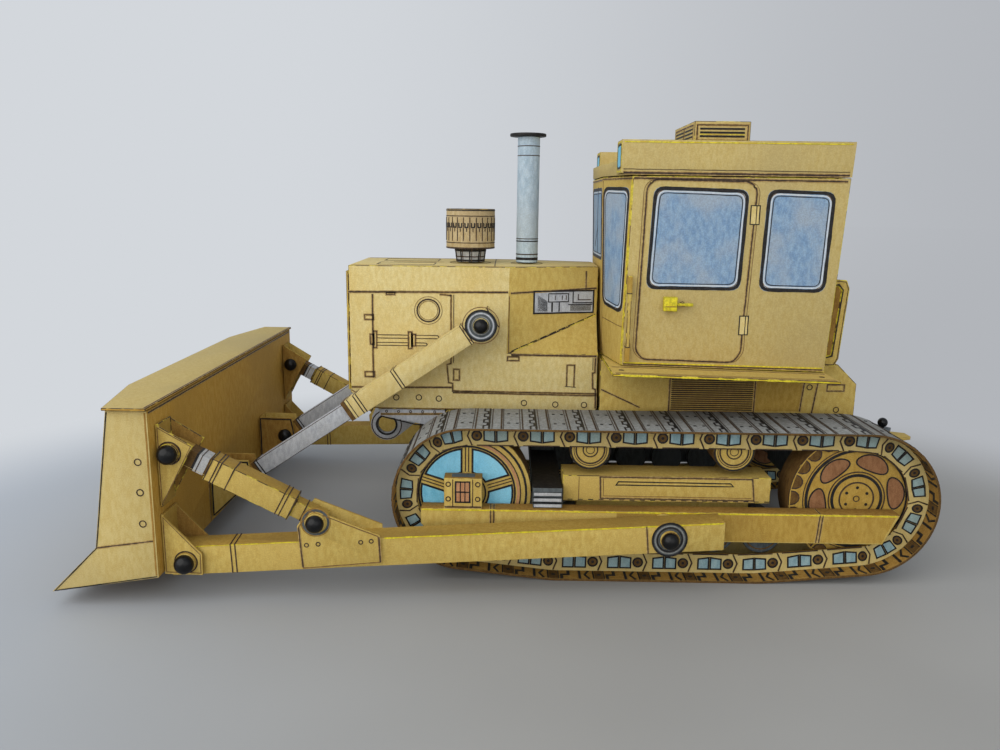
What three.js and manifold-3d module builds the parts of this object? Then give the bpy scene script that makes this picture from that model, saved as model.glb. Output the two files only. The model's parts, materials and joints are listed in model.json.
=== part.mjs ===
// A card model of a crawler bulldozer, about 1:25, every sub-part a separate piece.
// Millimetres. +X is the front (blade end), +Y the model's left side, +Z up, the table is Z = 0.
import * as THREE from 'three';
import { ConvexGeometry } from 'three/addons/geometries/ConvexGeometry.js';
import { mergeVertices } from 'three/addons/utils/BufferGeometryUtils.js';
import Module from 'manifold-3d';

const wasm = await Module();
wasm.setup();
const { Manifold, Mesh: SolidMesh } = wasm;

// ---------------------------------------------------------------- driving sizes (mm)
const CARD = 0.8;                // thickness of the folded card walls
const GAP = 0.3;                 // glue gap kept between neighbouring pieces

// tracks
const TRACK_Y = 41.5;            // middle of each track from the centre line
const BELT_WIDTH = 26;
const BELT_CARD = 0.7;
const LOOP_R = 23.2;             // outside of the belt round idler and sprocket
const WHEEL_Z = 26.3;            // height of idler and sprocket centres
const IDLER_X = 21.2;
const SPROCKET_X = -103;
const FLAT_R = 14;               // bend of the belt at the ends of its flat run
const FLAT_FRONT_X = -7;
const FLAT_REAR_X = -71;
const LINK_DEPTH = 7.2;          // belt outside to inner edge of the link side plates
const LINK_HALF = 6.8;           // link side plates' outer faces from the track's middle
const ROLLER_COUNT = 5;
const ROLLER_PITCH = 15;
const ROLLER_REAR_X = -73.7;
const ROLLER_R = 6.5;
const ROLLER_Z = 13.9;
const CARRIER_XS = [-17.8, -63.2];
const CARRIER_R = 6.5;
const CARRIER_CLEARANCE = 1.1;    // belt inside to roller
const CARRIER_Z = WHEEL_Z + LOOP_R - BELT_CARD - CARRIER_CLEARANCE - CARRIER_R;

// track frame
const RAIL_REACH = 12.5;
const RAIL_OUT_Y = TRACK_Y + RAIL_REACH; // outer face of the lower rail
const RAIL_TOP = 23.4;
const RAIL_BOTTOM = 13.7;
const BOX_CLEARANCE = 1.9;        // carrier rollers to the upper frame box
const BOX_TOP = CARRIER_Z - CARRIER_R - BOX_CLEARANCE;
const BAR_Z0 = 23.8;             // equaliser bar across both frames
const BAR_Z1 = 29.7;
const BAR_X0 = -9;
const BAR_X1 = 0.2;

// body
const HOOD_HALF = 20.9;
const HOOD_FRONT = 62.6;
const HOOD_TOP = 96.3;
const HOOD_BOTTOM = 47;
const HOOD_WAIST_X = 8.5;        // behind here the upper hood narrows to the cab
const HOOD_REAR = -22;
const HOOD_REAR_HALF = 12.5;
const LEDGE_Z = 67;
const LEDGE_PEAK_Z = 79.8;
const HULL_BOTTOM = 38;
const HULL_REAR = -110.7;
const HULL_NOSE = 30;
const HULL_SLOPE_X = -103.8;
const HULL_SLOPE_Z = 58.1;
const FENDER_HALF = 50;
const FENDER_FRONT = -23.5;
const FENDER_REAR = -93.6;
const FENDER_TOP_FRONT = 66.3;
const FLOOR_TILT = 0.021;

// cab
const CAB_HALF = 36.5;
const CAB_NOSE_HALF = 16;
const CAB_TOP = 126;
const ROOF_BAND = 10.5;
const ROOF_TOP = CAB_TOP + GAP + ROOF_BAND;
const ROOF_HALF = CAB_HALF + GAP;
const VENT_HEIGHT = 7.3;
const LAMP_FRONT = -25.3;
const LAMP_WIDTH = 10.8;

// blade and its push arms
const BLADE_HALF = 77;
const BLADE_BACK = 109;
const BLADE_TOP = 59.2;
const TIP = [140.4, 4.7];        // lower cutting edge
const KNEE = [126.6, 18.4];
const PIVOT = [-40.6, 18.4];     // push arm pin on the track frame, X and Z
const ARM_BLADE_Y = 68;          // middle of the push arm at the blade
const ARM_BLADE_PIN = [102.3, 12.8];
const ARM_WIDTH = 8;
const ARM_PIVOT_Y = RAIL_OUT_Y + ARM_WIDTH / 2 + 1.5; // middle of the push arm at its pin
const ARM_HEIGHT = 8.8;
const STRUT_TOP = [105.2, 45.9];
const STRUT_FOOT = [64.9, 24.7];

// lift cylinders
const LIFT_Y = 28.5;
const TRUNNION = [17.6, 78.1];
const LIFT_PIN = [98.3, 24.2];
const ROD = 5.6;
const BORE = ROD + 2 * GAP;
const BARREL = BORE + CARD;

const yellow = 0xd9b84e;
const grey = 0x8f9294;
const silver = 0xb9bcbd;
const dark = 0x34343a;
const brown = 0x8a6432;

// ---------------------------------------------------------------- small builders
function toSolid(geometry) {
  let g = geometry.clone();
  for (const name of Object.keys(g.attributes)) {
    if (name !== 'position') g.deleteAttribute(name);
  }
  g = mergeVertices(g, 1e-5);
  const index = Uint32Array.from(g.index.array);
  const vertProperties = Float32Array.from(g.attributes.position.array);
  return new Manifold(new SolidMesh({ numProp: 3, triVerts: index, vertProperties }));
}

function toGeometry(solid) {
  const m = solid.getMesh();
  const g = new THREE.BufferGeometry();
  g.setAttribute('position', new THREE.BufferAttribute(Float32Array.from(m.vertProperties), 3));
  g.setIndex(new THREE.BufferAttribute(Uint32Array.from(m.triVerts), 1));
  const flat = g.toNonIndexed();
  flat.computeVertexNormals();
  return flat;
}

function box(x0, x1, y0, y1, z0, z1) {
  const g = new THREE.BoxGeometry(x1 - x0, y1 - y0, z1 - z0);
  g.translate((x0 + x1) / 2, (y0 + y1) / 2, (z0 + z1) / 2);
  return toSolid(g);
}

function prism(points, depth) {
  const shape = new THREE.Shape(points.map(([u, v]) => new THREE.Vector2(u, v)));
  return new THREE.ExtrudeGeometry(shape, { depth, bevelEnabled: false });
}

// outline drawn in X and Z, thick along Y
function sidePlate(points, y0, y1) {
  const g = prism(points, y1 - y0);
  g.rotateX(Math.PI / 2);
  g.translate(0, y1, 0);
  return toSolid(g);
}

// outline drawn in X and Y, thick along Z
function flatPlate(points, z0, z1) {
  const g = prism(points, z1 - z0);
  g.translate(0, 0, z0);
  return toSolid(g);
}

function disc(x, z, r, y0, y1, segments = 48) {
  const g = new THREE.CylinderGeometry(r, r, y1 - y0, segments);
  g.translate(x, (y0 + y1) / 2, z);
  return toSolid(g);
}

function post(x, y, r, z0, z1, segments = 40) {
  const g = new THREE.CylinderGeometry(r, r, z1 - z0, segments);
  g.rotateX(Math.PI / 2);
  g.translate(x, y, (z0 + z1) / 2);
  return toSolid(g);
}

function hullOf(points) {
  return toSolid(new ConvexGeometry(points.map((p) => new THREE.Vector3(...p))));
}

function join(...solids) {
  return Manifold.union(solids);
}

function mirrored(solid) {
  return solid.mirror([0, 1, 0]);
}

// square tube along a line in the XZ plane: s is measured from `from` towards `to`
function barAlong(from, to, s0, s1, size, y, depth = size) {
  const len = Math.hypot(to[0] - from[0], to[1] - from[1]);
  const dir = [(to[0] - from[0]) / len, (to[1] - from[1]) / len];
  const nrm = [-dir[1], dir[0]];
  const corner = (s, t) => [from[0] + dir[0] * s + nrm[0] * t, from[1] + dir[1] * s + nrm[1] * t];
  const h = size / 2;
  return sidePlate([corner(s0, -h), corner(s1, -h), corner(s1, h), corner(s0, h)], y - depth / 2, y + depth / 2);
}

function distance(a, b) {
  return Math.hypot(a[0] - b[0], a[1] - b[1]);
}

const assembly = new THREE.Group();
assembly.name = 'card_bulldozer';

function add(name, solid, color, roughness = 0.8) {
  const material = new THREE.MeshStandardMaterial({ color, roughness, metalness: 0 });
  const mesh = new THREE.Mesh(toGeometry(solid), material);
  mesh.name = name;
  assembly.add(mesh);
}

function addPair(name, solid, color, roughness = 0.8) {
  add(`${name}_left`, solid, color, roughness);
  add(`${name}_right`, mirrored(solid), color, roughness);
}

// ---------------------------------------------------------------- tracks
// outline of a loop pulled round four round bends, drawn `inset` inside the belt's face
function loopOutline(inset) {
  const bends = [
    [IDLER_X, WHEEL_Z, LOOP_R],
    [SPROCKET_X, WHEEL_Z, LOOP_R],
    [FLAT_REAR_X, FLAT_R, FLAT_R],
    [FLAT_FRONT_X, FLAT_R, FLAT_R],
  ];
  const points = [];
  for (const [x, z, r] of bends) {
    for (let i = 0; i < 72; i += 1) {
      const a = (i / 72) * 2 * Math.PI;
      points.push([x + (r - inset) * Math.cos(a), z + (r - inset) * Math.sin(a)]);
    }
  }
  return convexOutline(points);
}

function convexOutline(points) {
  const sorted = points.slice().sort((a, b) => a[0] - b[0] || a[1] - b[1]);
  const turn = (o, a, b) => (a[0] - o[0]) * (b[1] - o[1]) - (a[1] - o[1]) * (b[0] - o[0]);
  const half = (list) => {
    const out = [];
    for (const p of list) {
      while (out.length > 1 && turn(out[out.length - 2], out[out.length - 1], p) <= 1e-6) out.pop();
      out.push(p);
    }
    out.pop();
    return out;
  };
  return half(sorted).concat(half(sorted.slice().reverse()));
}

function loopRing(outer, inner, y0, y1) {
  const solid = sidePlate(loopOutline(outer), y0, y1);
  return solid.subtract(sidePlate(loopOutline(inner), y0 - 1, y1 + 1));
}

const LINK_OUT = TRACK_Y + LINK_HALF;
const LINK_IN = TRACK_Y - LINK_HALF;
const WHEEL_Y0 = LINK_IN + CARD + GAP + 0.2;
const WHEEL_Y1 = LINK_OUT - CARD - GAP;

function trackLoop() {
  const y0 = TRACK_Y - BELT_WIDTH / 2;
  const y1 = TRACK_Y + BELT_WIDTH / 2;
  const belt = loopRing(0, BELT_CARD, y0, y1);
  const outerLinks = loopRing(BELT_CARD / 2, LINK_DEPTH, LINK_OUT - CARD, LINK_OUT);
  const innerLinks = loopRing(BELT_CARD / 2, LINK_DEPTH, LINK_IN, LINK_IN + CARD);
  return join(belt, outerLinks, innerLinks);
}

function rollerBank() {
  const parts = [];
  for (let i = 0; i < ROLLER_COUNT; i += 1) {
    parts.push(disc(ROLLER_REAR_X + i * ROLLER_PITCH, ROLLER_Z, ROLLER_R, WHEEL_Y0, WHEEL_Y1, 32));
  }
  const front = ROLLER_REAR_X + (ROLLER_COUNT - 1) * ROLLER_PITCH;
  parts.push(box(ROLLER_REAR_X, front, TRACK_Y - 3, TRACK_Y + 2, ROLLER_Z - 3, ROLLER_Z + 3));
  return join(...parts);
}

addPair('track_loop', trackLoop(), grey);
addPair('idler', disc(IDLER_X, WHEEL_Z, LOOP_R - 2.6, WHEEL_Y0, WHEEL_Y1, 64), yellow);
addPair('sprocket', disc(SPROCKET_X, WHEEL_Z, LOOP_R - 1.7, WHEEL_Y0, WHEEL_Y1, 64), yellow);
addPair('lower_rollers', rollerBank(), dark);
addPair('carrier_roller_front', disc(CARRIER_XS[0], CARRIER_Z, CARRIER_R, WHEEL_Y0, WHEEL_Y1), yellow);
addPair('carrier_roller_rear', disc(CARRIER_XS[1], CARRIER_Z, CARRIER_R, WHEEL_Y0, WHEEL_Y1), yellow);

// ---------------------------------------------------------------- track frames
function lowerRail() {
  const y0 = LINK_OUT + GAP;
  const rail = sidePlate([
    [35.3, RAIL_TOP], [-114.2, RAIL_TOP], [-109.6, RAIL_BOTTOM], [31, RAIL_BOTTOM], [35.3, 18.5],
  ], y0, RAIL_OUT_Y);
  const hubBox = box(16.2, 28, y0, RAIL_OUT_Y, RAIL_TOP - 1, RAIL_TOP + 10);
  const armBoss = disc(PIVOT[0], PIVOT[1], 4.6, RAIL_OUT_Y - 0.5, ARM_PIVOT_Y - ARM_WIDTH / 2 - 0.8, 40);
  return join(rail, hubBox, armBoss);
}

function frameBox() {
  const y0 = WHEEL_Y0;
  const y1 = WHEEL_Y1 + 0.4;
  const bottom = RAIL_TOP + 0.9;
  const solid = box(-75.5, BAR_X0 - 0.4, y0, y1, bottom, BOX_TOP);
  const web = box(-70, -14, TRACK_Y - 3, TRACK_Y + 2, ROLLER_Z + ROLLER_R + GAP, bottom + 0.5);
  return join(solid, web);
}

function equaliserBar() {
  const reach = LINK_OUT + 3.1;
  const half = sidePlate([[BAR_X0, BAR_Z0], [BAR_X1, BAR_Z0], [BAR_X1, BAR_Z1], [BAR_X0, BAR_Z1]], -reach, reach);
  const leaves = [0, 1, 2].map((i) => {
    const y = reach - 0.1;
    const z = BAR_Z0 + i * 1.7;
    return box(BAR_X0 + 0.01, BAR_X1 - 0.01, -y - 1.5 + i * 0.5, y + 1.5 - i * 0.5, z, z + 1.2);
  });
  const pedestal = box(BAR_X0 + 0.5, BAR_X1 - 0.5, -10, 10, BAR_Z1 - 0.5, HULL_BOTTOM - GAP);
  return join(half, ...leaves, pedestal);
}

addPair('track_rail', lowerRail(), yellow);
addPair('frame_box', frameBox(), yellow);
add('equaliser_bar', equaliserBar(), dark);

// ---------------------------------------------------------------- hull
// the cab floor and the plate under it slope down a little to the rear
const fenderTop = (x) => FENDER_TOP_FRONT + (x - FENDER_FRONT) * FLOOR_TILT;
const deckTop = (x) => fenderTop(x) - CARD - GAP;

function hull() {
  const step = FENDER_REAR - GAP;
  const rearDeck = fenderTop(step);
  const front = HOOD_REAR - 1;
  const top = HOOD_BOTTOM - GAP;
  const outer = sidePlate([
    [HULL_REAR, HULL_BOTTOM], [HULL_NOSE, HULL_BOTTOM], [HULL_NOSE, top], [front, top], [front, deckTop(front)],
    [step, deckTop(step)], [step, rearDeck], [HULL_SLOPE_X, rearDeck], [HULL_REAR, HULL_SLOPE_Z],
  ], -HOOD_HALF, HOOD_HALF);
  const under = deckTop(step) - CARD;
  const cavity = sidePlate([
    [HULL_REAR + CARD, HULL_BOTTOM + CARD], [HULL_NOSE - CARD, HULL_BOTTOM + CARD], [HULL_NOSE - CARD, top + 5],
    [front - CARD, top + 5], [front - CARD, rearDeck + 5], [step + 1.5, rearDeck + 5], [step + 1.5, under],
    [step - CARD, under], [step - CARD, rearDeck - CARD], [HULL_SLOPE_X + CARD * 0.4, rearDeck - CARD],
    [HULL_REAR + CARD, HULL_SLOPE_Z - CARD * 0.4],
  ], -HOOD_HALF + CARD, HOOD_HALF - CARD);
  return outer.subtract(cavity);
}

function rearAxle() {
  const tube = disc(SPROCKET_X, WHEEL_Z, 9, -WHEEL_Y0 + GAP, WHEEL_Y0 - GAP, 40);
  const block = box(HULL_REAR + 0.5, -94, -15, 15, WHEEL_Z - 6, HULL_BOTTOM - GAP);
  return join(tube, block);
}

function hitch() {
  const start = HULL_REAR + 0.2;
  const tongue = flatPlate([
    [start, -9], [start, 9], [-130, 7], [-140.4, 2.5], [-140.4, -2.5], [-130, -7],
  ].reverse(), 33.6, 34.8);
  const upper = flatPlate([[start, -6], [start, 6], [-131, 5], [-134, 0], [-131, -5]].reverse(), 36.4, 37.4);
  const spacer = box(start - 4, start, -5, 5, 34.5, 36.7);
  const pin = post(-130.7, 0, 0.7, 32.8, 39.6, 16);
  const head = new THREE.SphereGeometry(1.8, 20, 12);
  head.rotateX(Math.PI / 2);
  head.translate(-130.7, 0, 39.4);
  return join(tongue, upper, spacer, pin, toSolid(head));
}

// grey guard under the front of the hood, with a towing ring on a plate in the middle
function towHook() {
  const x0 = HULL_NOSE + GAP;
  const top = HOOD_BOTTOM - GAP;
  const guard = sidePlate([[x0, 39.9], [52.6, 44.4], [53.4, top], [x0, top]], -HOOD_HALF + 0.9, HOOD_HALF - 0.9);
  const ring = disc(53.4, 36, 5.9, -1.1, 1.1);
  const web = sidePlate([[42.4, 37.2], [48.9, 31.9], [58.9, 39], [57.2, 42.8], [52, 44.5], [42.4, 42.4]], -1.1, 1.1);
  const eye = disc(53.4, 36, 3.3, -5, 5);
  return join(guard, web, ring).subtract(eye);
}

add('hull', hull(), yellow);
add('rear_axle', rearAxle(), dark);
add('rear_hitch', hitch(), yellow);
add('front_tow_hook', towHook(), grey);

// ---------------------------------------------------------------- hood
function hoodSolid(t) {
  const h = HOOD_HALF - t;
  const r = HOOD_REAR_HALF - t;
  const top = HOOD_TOP - t;
  const rear = HOOD_REAR + t;
  const front = HOOD_FRONT - t;
  const low = t > 0 ? HOOD_BOTTOM - 5 : HOOD_BOTTOM;
  const drop = t > 0 ? 53.2 - t - 4.9 : 53.2;
  const lower = sidePlate([[front, LEDGE_Z], [front, 52.6], [drop, low], [rear, low], [rear, LEDGE_Z]], -h, h);
  const upper = box(HOOD_WAIST_X - 1, front, -h, h, LEDGE_Z - 1, top);
  const slanted = flatPlate([[HOOD_WAIST_X, -h], [HOOD_WAIST_X, h], [rear, r], [rear, -r]], LEDGE_Z - 1, top);
  const ledges = [-1, 1].map((s) => hullOf([
    [HOOD_WAIST_X, s * h, LEDGE_Z - t], [HOOD_WAIST_X, s * h, LEDGE_Z - 1 - t],
    [rear, s * h, LEDGE_Z - t], [rear, s * h, LEDGE_Z - 1 - t],
    [rear, s * r, LEDGE_PEAK_Z - t], [rear, s * (r - 2), LEDGE_PEAK_Z - t], [rear, s * (r - 2), LEDGE_Z - 1 - t],
  ]));
  return join(lower, upper.trimByPlane([1, 0, 0], HOOD_WAIST_X - 0.001), slanted, ...ledges);
}

function hood() {
  return hoodSolid(0).subtract(hoodSolid(CARD));
}

function grille() {
  const x0 = HOOD_FRONT + GAP;
  const plate = box(x0, x0 + 0.7, -HOOD_HALF + 1, HOOD_HALF - 1, 53.5, HOOD_TOP - 2);
  const slats = [];
  for (let i = 0; i < 9; i += 1) {
    slats.push(box(x0 + 0.6, x0 + 1, -15, 15, 58 + i * 3.6, 59.6 + i * 3.6));
  }
  return join(plate, ...slats);
}

add('hood', hood(), yellow);
add('radiator_grille', grille(), yellow);

const airX = 22.6;
const airFoot = new THREE.CylinderGeometry(5.7, 5, 5.2, 48);
airFoot.rotateX(Math.PI / 2);
airFoot.translate(airX, 0, HOOD_TOP + GAP + 2.6);
const airCleaner = join(toSolid(airFoot), post(airX, 0, 8.6, 101.4, 115.2)).subtract(post(airX, 0, 7.9, 114.6, 116));
add('air_cleaner', airCleaner, yellow);

const pipeX = 2.4;
const exhaust = join(
  post(pipeX, 0, 3.85, HOOD_TOP + GAP, 140.2),
  post(pipeX + 0.3, 0, 6.3, 140, 141),
);
add('exhaust_stack', exhaust, silver);

// ---------------------------------------------------------------- cab
// plan of the cab at a height: the walls lean back a little towards the roof
const cabFloor = (x) => fenderTop(x) + GAP;

function cabPlan(z, t) {
  const rise = z - cabFloor(FENDER_FRONT);
  const nose = -23.6 + 0.027 * rise - t;
  const shoulder = -27.8 - 0.0235 * rise - t * 0.5;
  const rear = -93.3 - 0.049 * rise + t;
  const h = CAB_HALF - t;
  const n = CAB_NOSE_HALF - t * 0.6;
  return [[nose, n], [shoulder, h], [rear, h], [rear, -h], [shoulder, -h], [nose, -n]].map(([x, y]) => [x, y, z]);
}

function cabShell() {
  const foot = (t, drop) => cabPlan(cabFloor(-60), t).map(([x, y]) => [x, y, cabFloor(x) - drop]);
  const outer = hullOf([...foot(0, 0), ...cabPlan(CAB_TOP, 0)]);
  const inner = hullOf([...foot(CARD, 3), ...cabPlan(CAB_TOP + 3, CARD)]);
  return outer.subtract(inner);
}

// the roof follows the cab's plan, with a sloping brow between two square lamp boxes
function roof() {
  const z0 = CAB_TOP + GAP;
  const edge = ROOF_HALF - CAB_HALF;
  const plan = (z) => cabPlan(z, 0).map(([x, y]) => [x, y + Math.sign(y) * edge, z]);
  const lampInner = ROOF_HALF - LAMP_WIDTH;
  const body = hullOf([...plan(z0), ...plan(ROOF_TOP)]);
  const recess = sidePlate([
    [-33, z0 + 7.5], [-23, z0 + 4], [-15, z0 + 4], [-15, ROOF_TOP + 1], [-33, ROOF_TOP + 1],
  ], -lampInner, lampInner);
  const lamps = [-1, 1].map((s) => {
    const y = s * (ROOF_HALF - LAMP_WIDTH / 2);
    return box(-38, LAMP_FRONT, y - LAMP_WIDTH / 2, y + LAMP_WIDTH / 2, z0 + 0.5, ROOF_TOP);
  });
  const hollow = box(-93, -36, -ROOF_HALF + 1, ROOF_HALF - 1, z0 - 1, ROOF_TOP - 1);
  return join(body.subtract(recess), ...lamps).subtract(hollow);
}

function roofVent() {
  return box(-69.8, -51.4, -16.5, 16.5, ROOF_TOP + GAP, ROOF_TOP + GAP + VENT_HEIGHT);
}

function fenderPlate() {
  const top = [FENDER_REAR, FENDER_FRONT].map((x) => [x, fenderTop(x)]);
  const under = top.map(([x, z]) => [x, z - CARD]).reverse();
  return sidePlate([...top, ...under].reverse(), -FENDER_HALF, FENDER_HALF);
}

add('cab_shell', cabShell(), yellow);
add('cab_roof', roof(), yellow);
add('roof_vent', roofVent(), yellow);
add('fender_plate', fenderPlate(), yellow);

function doorHandle() {
  const y = CAB_HALF + GAP;
  const block = box(-44.4, -40.2, y, y + 2.4, 84.4, 88.9);
  const lever = box(-49.5, -44, y + 0.8, y + 1.8, 86, 87);
  return join(block, lever);
}

function grabBar() {
  const y = CAB_HALF + GAP;
  const rail = box(-29.9, -28.7, y + 1.4, y + 2.4, 68, 95.3);
  const feet = [68, 89.5].map((z) => box(-29.9, -28.7, y, y + 1.6, z, z + 5.8));
  return join(rail, ...feet);
}

// a card loop at the cab's rear corner, with a thin brown card closing it
function rearHandrail() {
  const outline = [[-93.7, 66.2], [-98.4, 66.2], [-99.6, 68.6], [-101.1, 91.6], [-100, 94.3], [-95.1, 94.6]];
  const inside = [[-95.3, 69.2], [-97.2, 69.8], [-98.7, 91], [-97.4, 92.6], [-96.3, 92.2]];
  const pockets = [[30.8, 32], [29, 30.4]].map(([y0, y1]) => sidePlate(inside, y0, y1));
  return sidePlate(outline, 30, 31.2).subtract(join(...pockets));
}

addPair('door_handle', doorHandle(), yellow);
addPair('grab_bar', grabBar(), yellow);
addPair('rear_handrail', rearHandrail(), yellow);

// ---------------------------------------------------------------- blade
function mouldboardFace(t) {
  const points = [];
  for (let i = 0; i <= 8; i += 1) {
    const f = i / 8;
    const x = 120.4 + (KNEE[0] - 120.4) * f - 4.2 * Math.sin(Math.PI * f) - t;
    points.push([x, BLADE_TOP + (KNEE[1] - BLADE_TOP) * f]);
  }
  return points;
}

function bladeShell() {
  const endPlate = [[BLADE_BACK, 9.6], [TIP[0], TIP[1]], KNEE, [120.6, BLADE_TOP], [BLADE_BACK, BLADE_TOP]];
  const core = [[BLADE_BACK, 9.6], [TIP[0] - 0.4, TIP[1] + 0.06], ...mouldboardFace(0.3).reverse(), [BLADE_BACK, BLADE_TOP]];
  const cavity = [
    [BLADE_BACK + CARD, 10.6], [TIP[0] - 5.5, TIP[1] + 2.2], ...mouldboardFace(1.4).reverse(),
  ];
  cavity.push([119, BLADE_TOP + 4], [BLADE_BACK + CARD, BLADE_TOP + 4]);
  const half = BLADE_HALF - CARD;
  const solid = sidePlate(core, -half - 0.01, half + 0.01).subtract(sidePlate(cavity, -half, half));
  return join(
    solid,
    sidePlate(endPlate, half, BLADE_HALF),
    sidePlate(endPlate, -BLADE_HALF, -half),
  );
}

function topPlate() {
  const w = BLADE_HALF + 1.5;
  const z0 = BLADE_TOP + GAP;
  return flatPlate([[BLADE_BACK - 0.4, -w], [121, -w], [127, -48], [127, 48], [121, w], [BLADE_BACK - 0.4, w]], z0, z0 + CARD);
}

// two cheeks standing on a back plate, for a pin between them
function bladeBracket(outline, y, clear, pin) {
  const x = BLADE_BACK - GAP;
  const y0 = y - clear / 2 - 0.7;
  const y1 = y + clear / 2 + 0.7;
  const zs = outline.map((p) => p[1]);
  const cheeks = [
    sidePlate(outline, y0, y0 + 0.7),
    sidePlate(outline, y1 - 0.7, y1),
  ];
  const atBack = outline.filter((p) => Math.abs(p[0] - x) < 0.01).map((p) => p[1]);
  const back = box(x - 0.7, x, y0, y1, Math.min(...atBack), Math.max(...atBack));
  const heads = [
    disc(pin[0], pin[1], 3, y1 - 0.1, y1 + 0.9, 24),
    disc(pin[0], pin[1], 1.2, y0 - 0.6, y0 + 0.1, 24),
  ];
  return join(...cheeks, back, ...heads);
}

const bracketX = BLADE_BACK - GAP;
const strutBracket = bladeBracket(
  [[bracketX, 29.7], [bracketX, 54.4], [98.3, 48]], ARM_BLADE_Y, 8.4, STRUT_TOP);
const armBracket = bladeBracket(
  [[bracketX, 9], [bracketX, 27.4], [97.5, 15.4], [97.6, 8.8]], ARM_BLADE_Y, 9, ARM_BLADE_PIN);
const liftBracket = bladeBracket(
  [[bracketX, 11], [bracketX, 31.4], [95.6, 31.2], [94.4, 24]], LIFT_Y, ROD + 1.2, LIFT_PIN);

add('blade', bladeShell(), yellow);
add('blade_top_plate', topPlate(), yellow);
addPair('strut_bracket', strutBracket, yellow);
addPair('arm_bracket', armBracket, yellow);
addPair('lift_bracket', liftBracket, yellow);

// ---------------------------------------------------------------- push arms and struts
const armDrop = (ARM_BLADE_PIN[1] - PIVOT[1]) / (ARM_BLADE_PIN[0] - PIVOT[0]);
const armZ = (x) => PIVOT[1] + (x - PIVOT[0]) * armDrop;
const splayDegrees = Math.atan2(ARM_BLADE_Y - ARM_PIVOT_Y, ARM_BLADE_PIN[0] - PIVOT[0]) * 180 / Math.PI;

function splayed(solid) {
  return solid
    .translate([-PIVOT[0], 0, 0])
    .rotate([0, 0, splayDegrees])
    .translate([PIVOT[0], ARM_PIVOT_Y, 0]);
}

function pushArm() {
  const rear = -57.5;
  const front = 107.3;
  const h = ARM_HEIGHT / 2;
  const w = ARM_WIDTH / 2;
  const tube = (x0, x1, t) => sidePlate([
    [x0, armZ(x0) - h + t], [x1, armZ(x1) - h + t], [x1, armZ(x1) + h - t], [x0, armZ(x0) + h - t],
  ], -w + t, w - t);
  const walls = tube(rear, front, 0).subtract(tube(rear + CARD, front + 2, CARD));
  const pivotDisc = disc(PIVOT[0], PIVOT[1], 5.5, w - 0.1, w + 0.6);
  const pivotHead = disc(PIVOT[0], PIVOT[1], 2.9, w + 0.5, w + 1.6, 32);
  const cheek = [[70.4, 23.5], [66.6, 28.9], [46.3, 20.5], [45.8, 11.6], [69.3, 10]];
  const cheeks = [
    sidePlate(cheek, w - 0.05, w + 0.75),
    sidePlate(cheek, -w - 0.75, -w + 0.05),
  ];
  const pin = disc(STRUT_FOOT[0], STRUT_FOOT[1], 3, w + 0.65, w + 1.65, 24);
  return splayed(join(walls, pivotDisc, pivotHead, ...cheeks, pin));
}

function strut() {
  const len = distance(STRUT_TOP, STRUT_FOOT);
  const y = ARM_BLADE_Y;
  const foot = barAlong(STRUT_TOP, STRUT_FOOT, 36, len + 2.5, 5, 0);
  const body = barAlong(STRUT_TOP, STRUT_FOOT, 11, 38, 7, 0);
  const head = barAlong(STRUT_TOP, STRUT_FOOT, -1, 12, 5.4, 0);
  const yFoot = ARM_PIVOT_Y + (STRUT_FOOT[0] - PIVOT[0]) * Math.tan(splayDegrees * Math.PI / 180);
  const turn = Math.atan2(y - yFoot, STRUT_TOP[0] - STRUT_FOOT[0]) * 180 / Math.PI;
  return join(foot, body, head)
    .translate([-STRUT_TOP[0], 0, 0])
    .rotate([0, 0, turn])
    .translate([STRUT_TOP[0], y, 0]);
}

addPair('push_arm', pushArm(), yellow);
addPair('strut', strut(), yellow);

// ---------------------------------------------------------------- lift cylinders
function liftBarrel() {
  const y0 = HOOD_HALF + GAP;
  const y1 = LIFT_Y + BARREL / 2;
  const tube = barAlong(TRUNNION, LIFT_PIN, -5, 53.6, BARREL, LIFT_Y);
  const bore = barAlong(TRUNNION, LIFT_PIN, 5, 60, BORE, LIFT_Y);
  const stub = disc(TRUNNION[0], TRUNNION[1], 3, y0, LIFT_Y - BORE / 2, 32);
  const rim = disc(TRUNNION[0], TRUNNION[1], 5.2, y1 - 0.1, y1 + 0.6);
  const head = disc(TRUNNION[0], TRUNNION[1], 2.5, y1 + 0.5, y1 + 1.5, 24);
  return join(tube.subtract(bore), stub, rim, head);
}

function liftRod() {
  const len = distance(TRUNNION, LIFT_PIN);
  return barAlong(TRUNNION, LIFT_PIN, 28, len + 2.6, ROD, LIFT_Y);
}

addPair('lift_barrel', liftBarrel(), yellow);
addPair('lift_rod', liftRod(), silver);

export default assembly;
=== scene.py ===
# %% [markdown]
# # A card bulldozer, coloured in by hand
# The real thing is a small model: printed card, cut out, folded and glued, coloured with pencils, inked with
# a fine brown-black pen and held at its joints by glass-headed pins. The exact solids come from the packed
# frame. This lesson gives them soft folds, pencil colour, every printed line, the tracks' prints and the pins.

# %% Load the frame
import bmesh
import bpy
import json
import math
from mathutils import Matrix, Vector, geometry, noise


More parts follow.
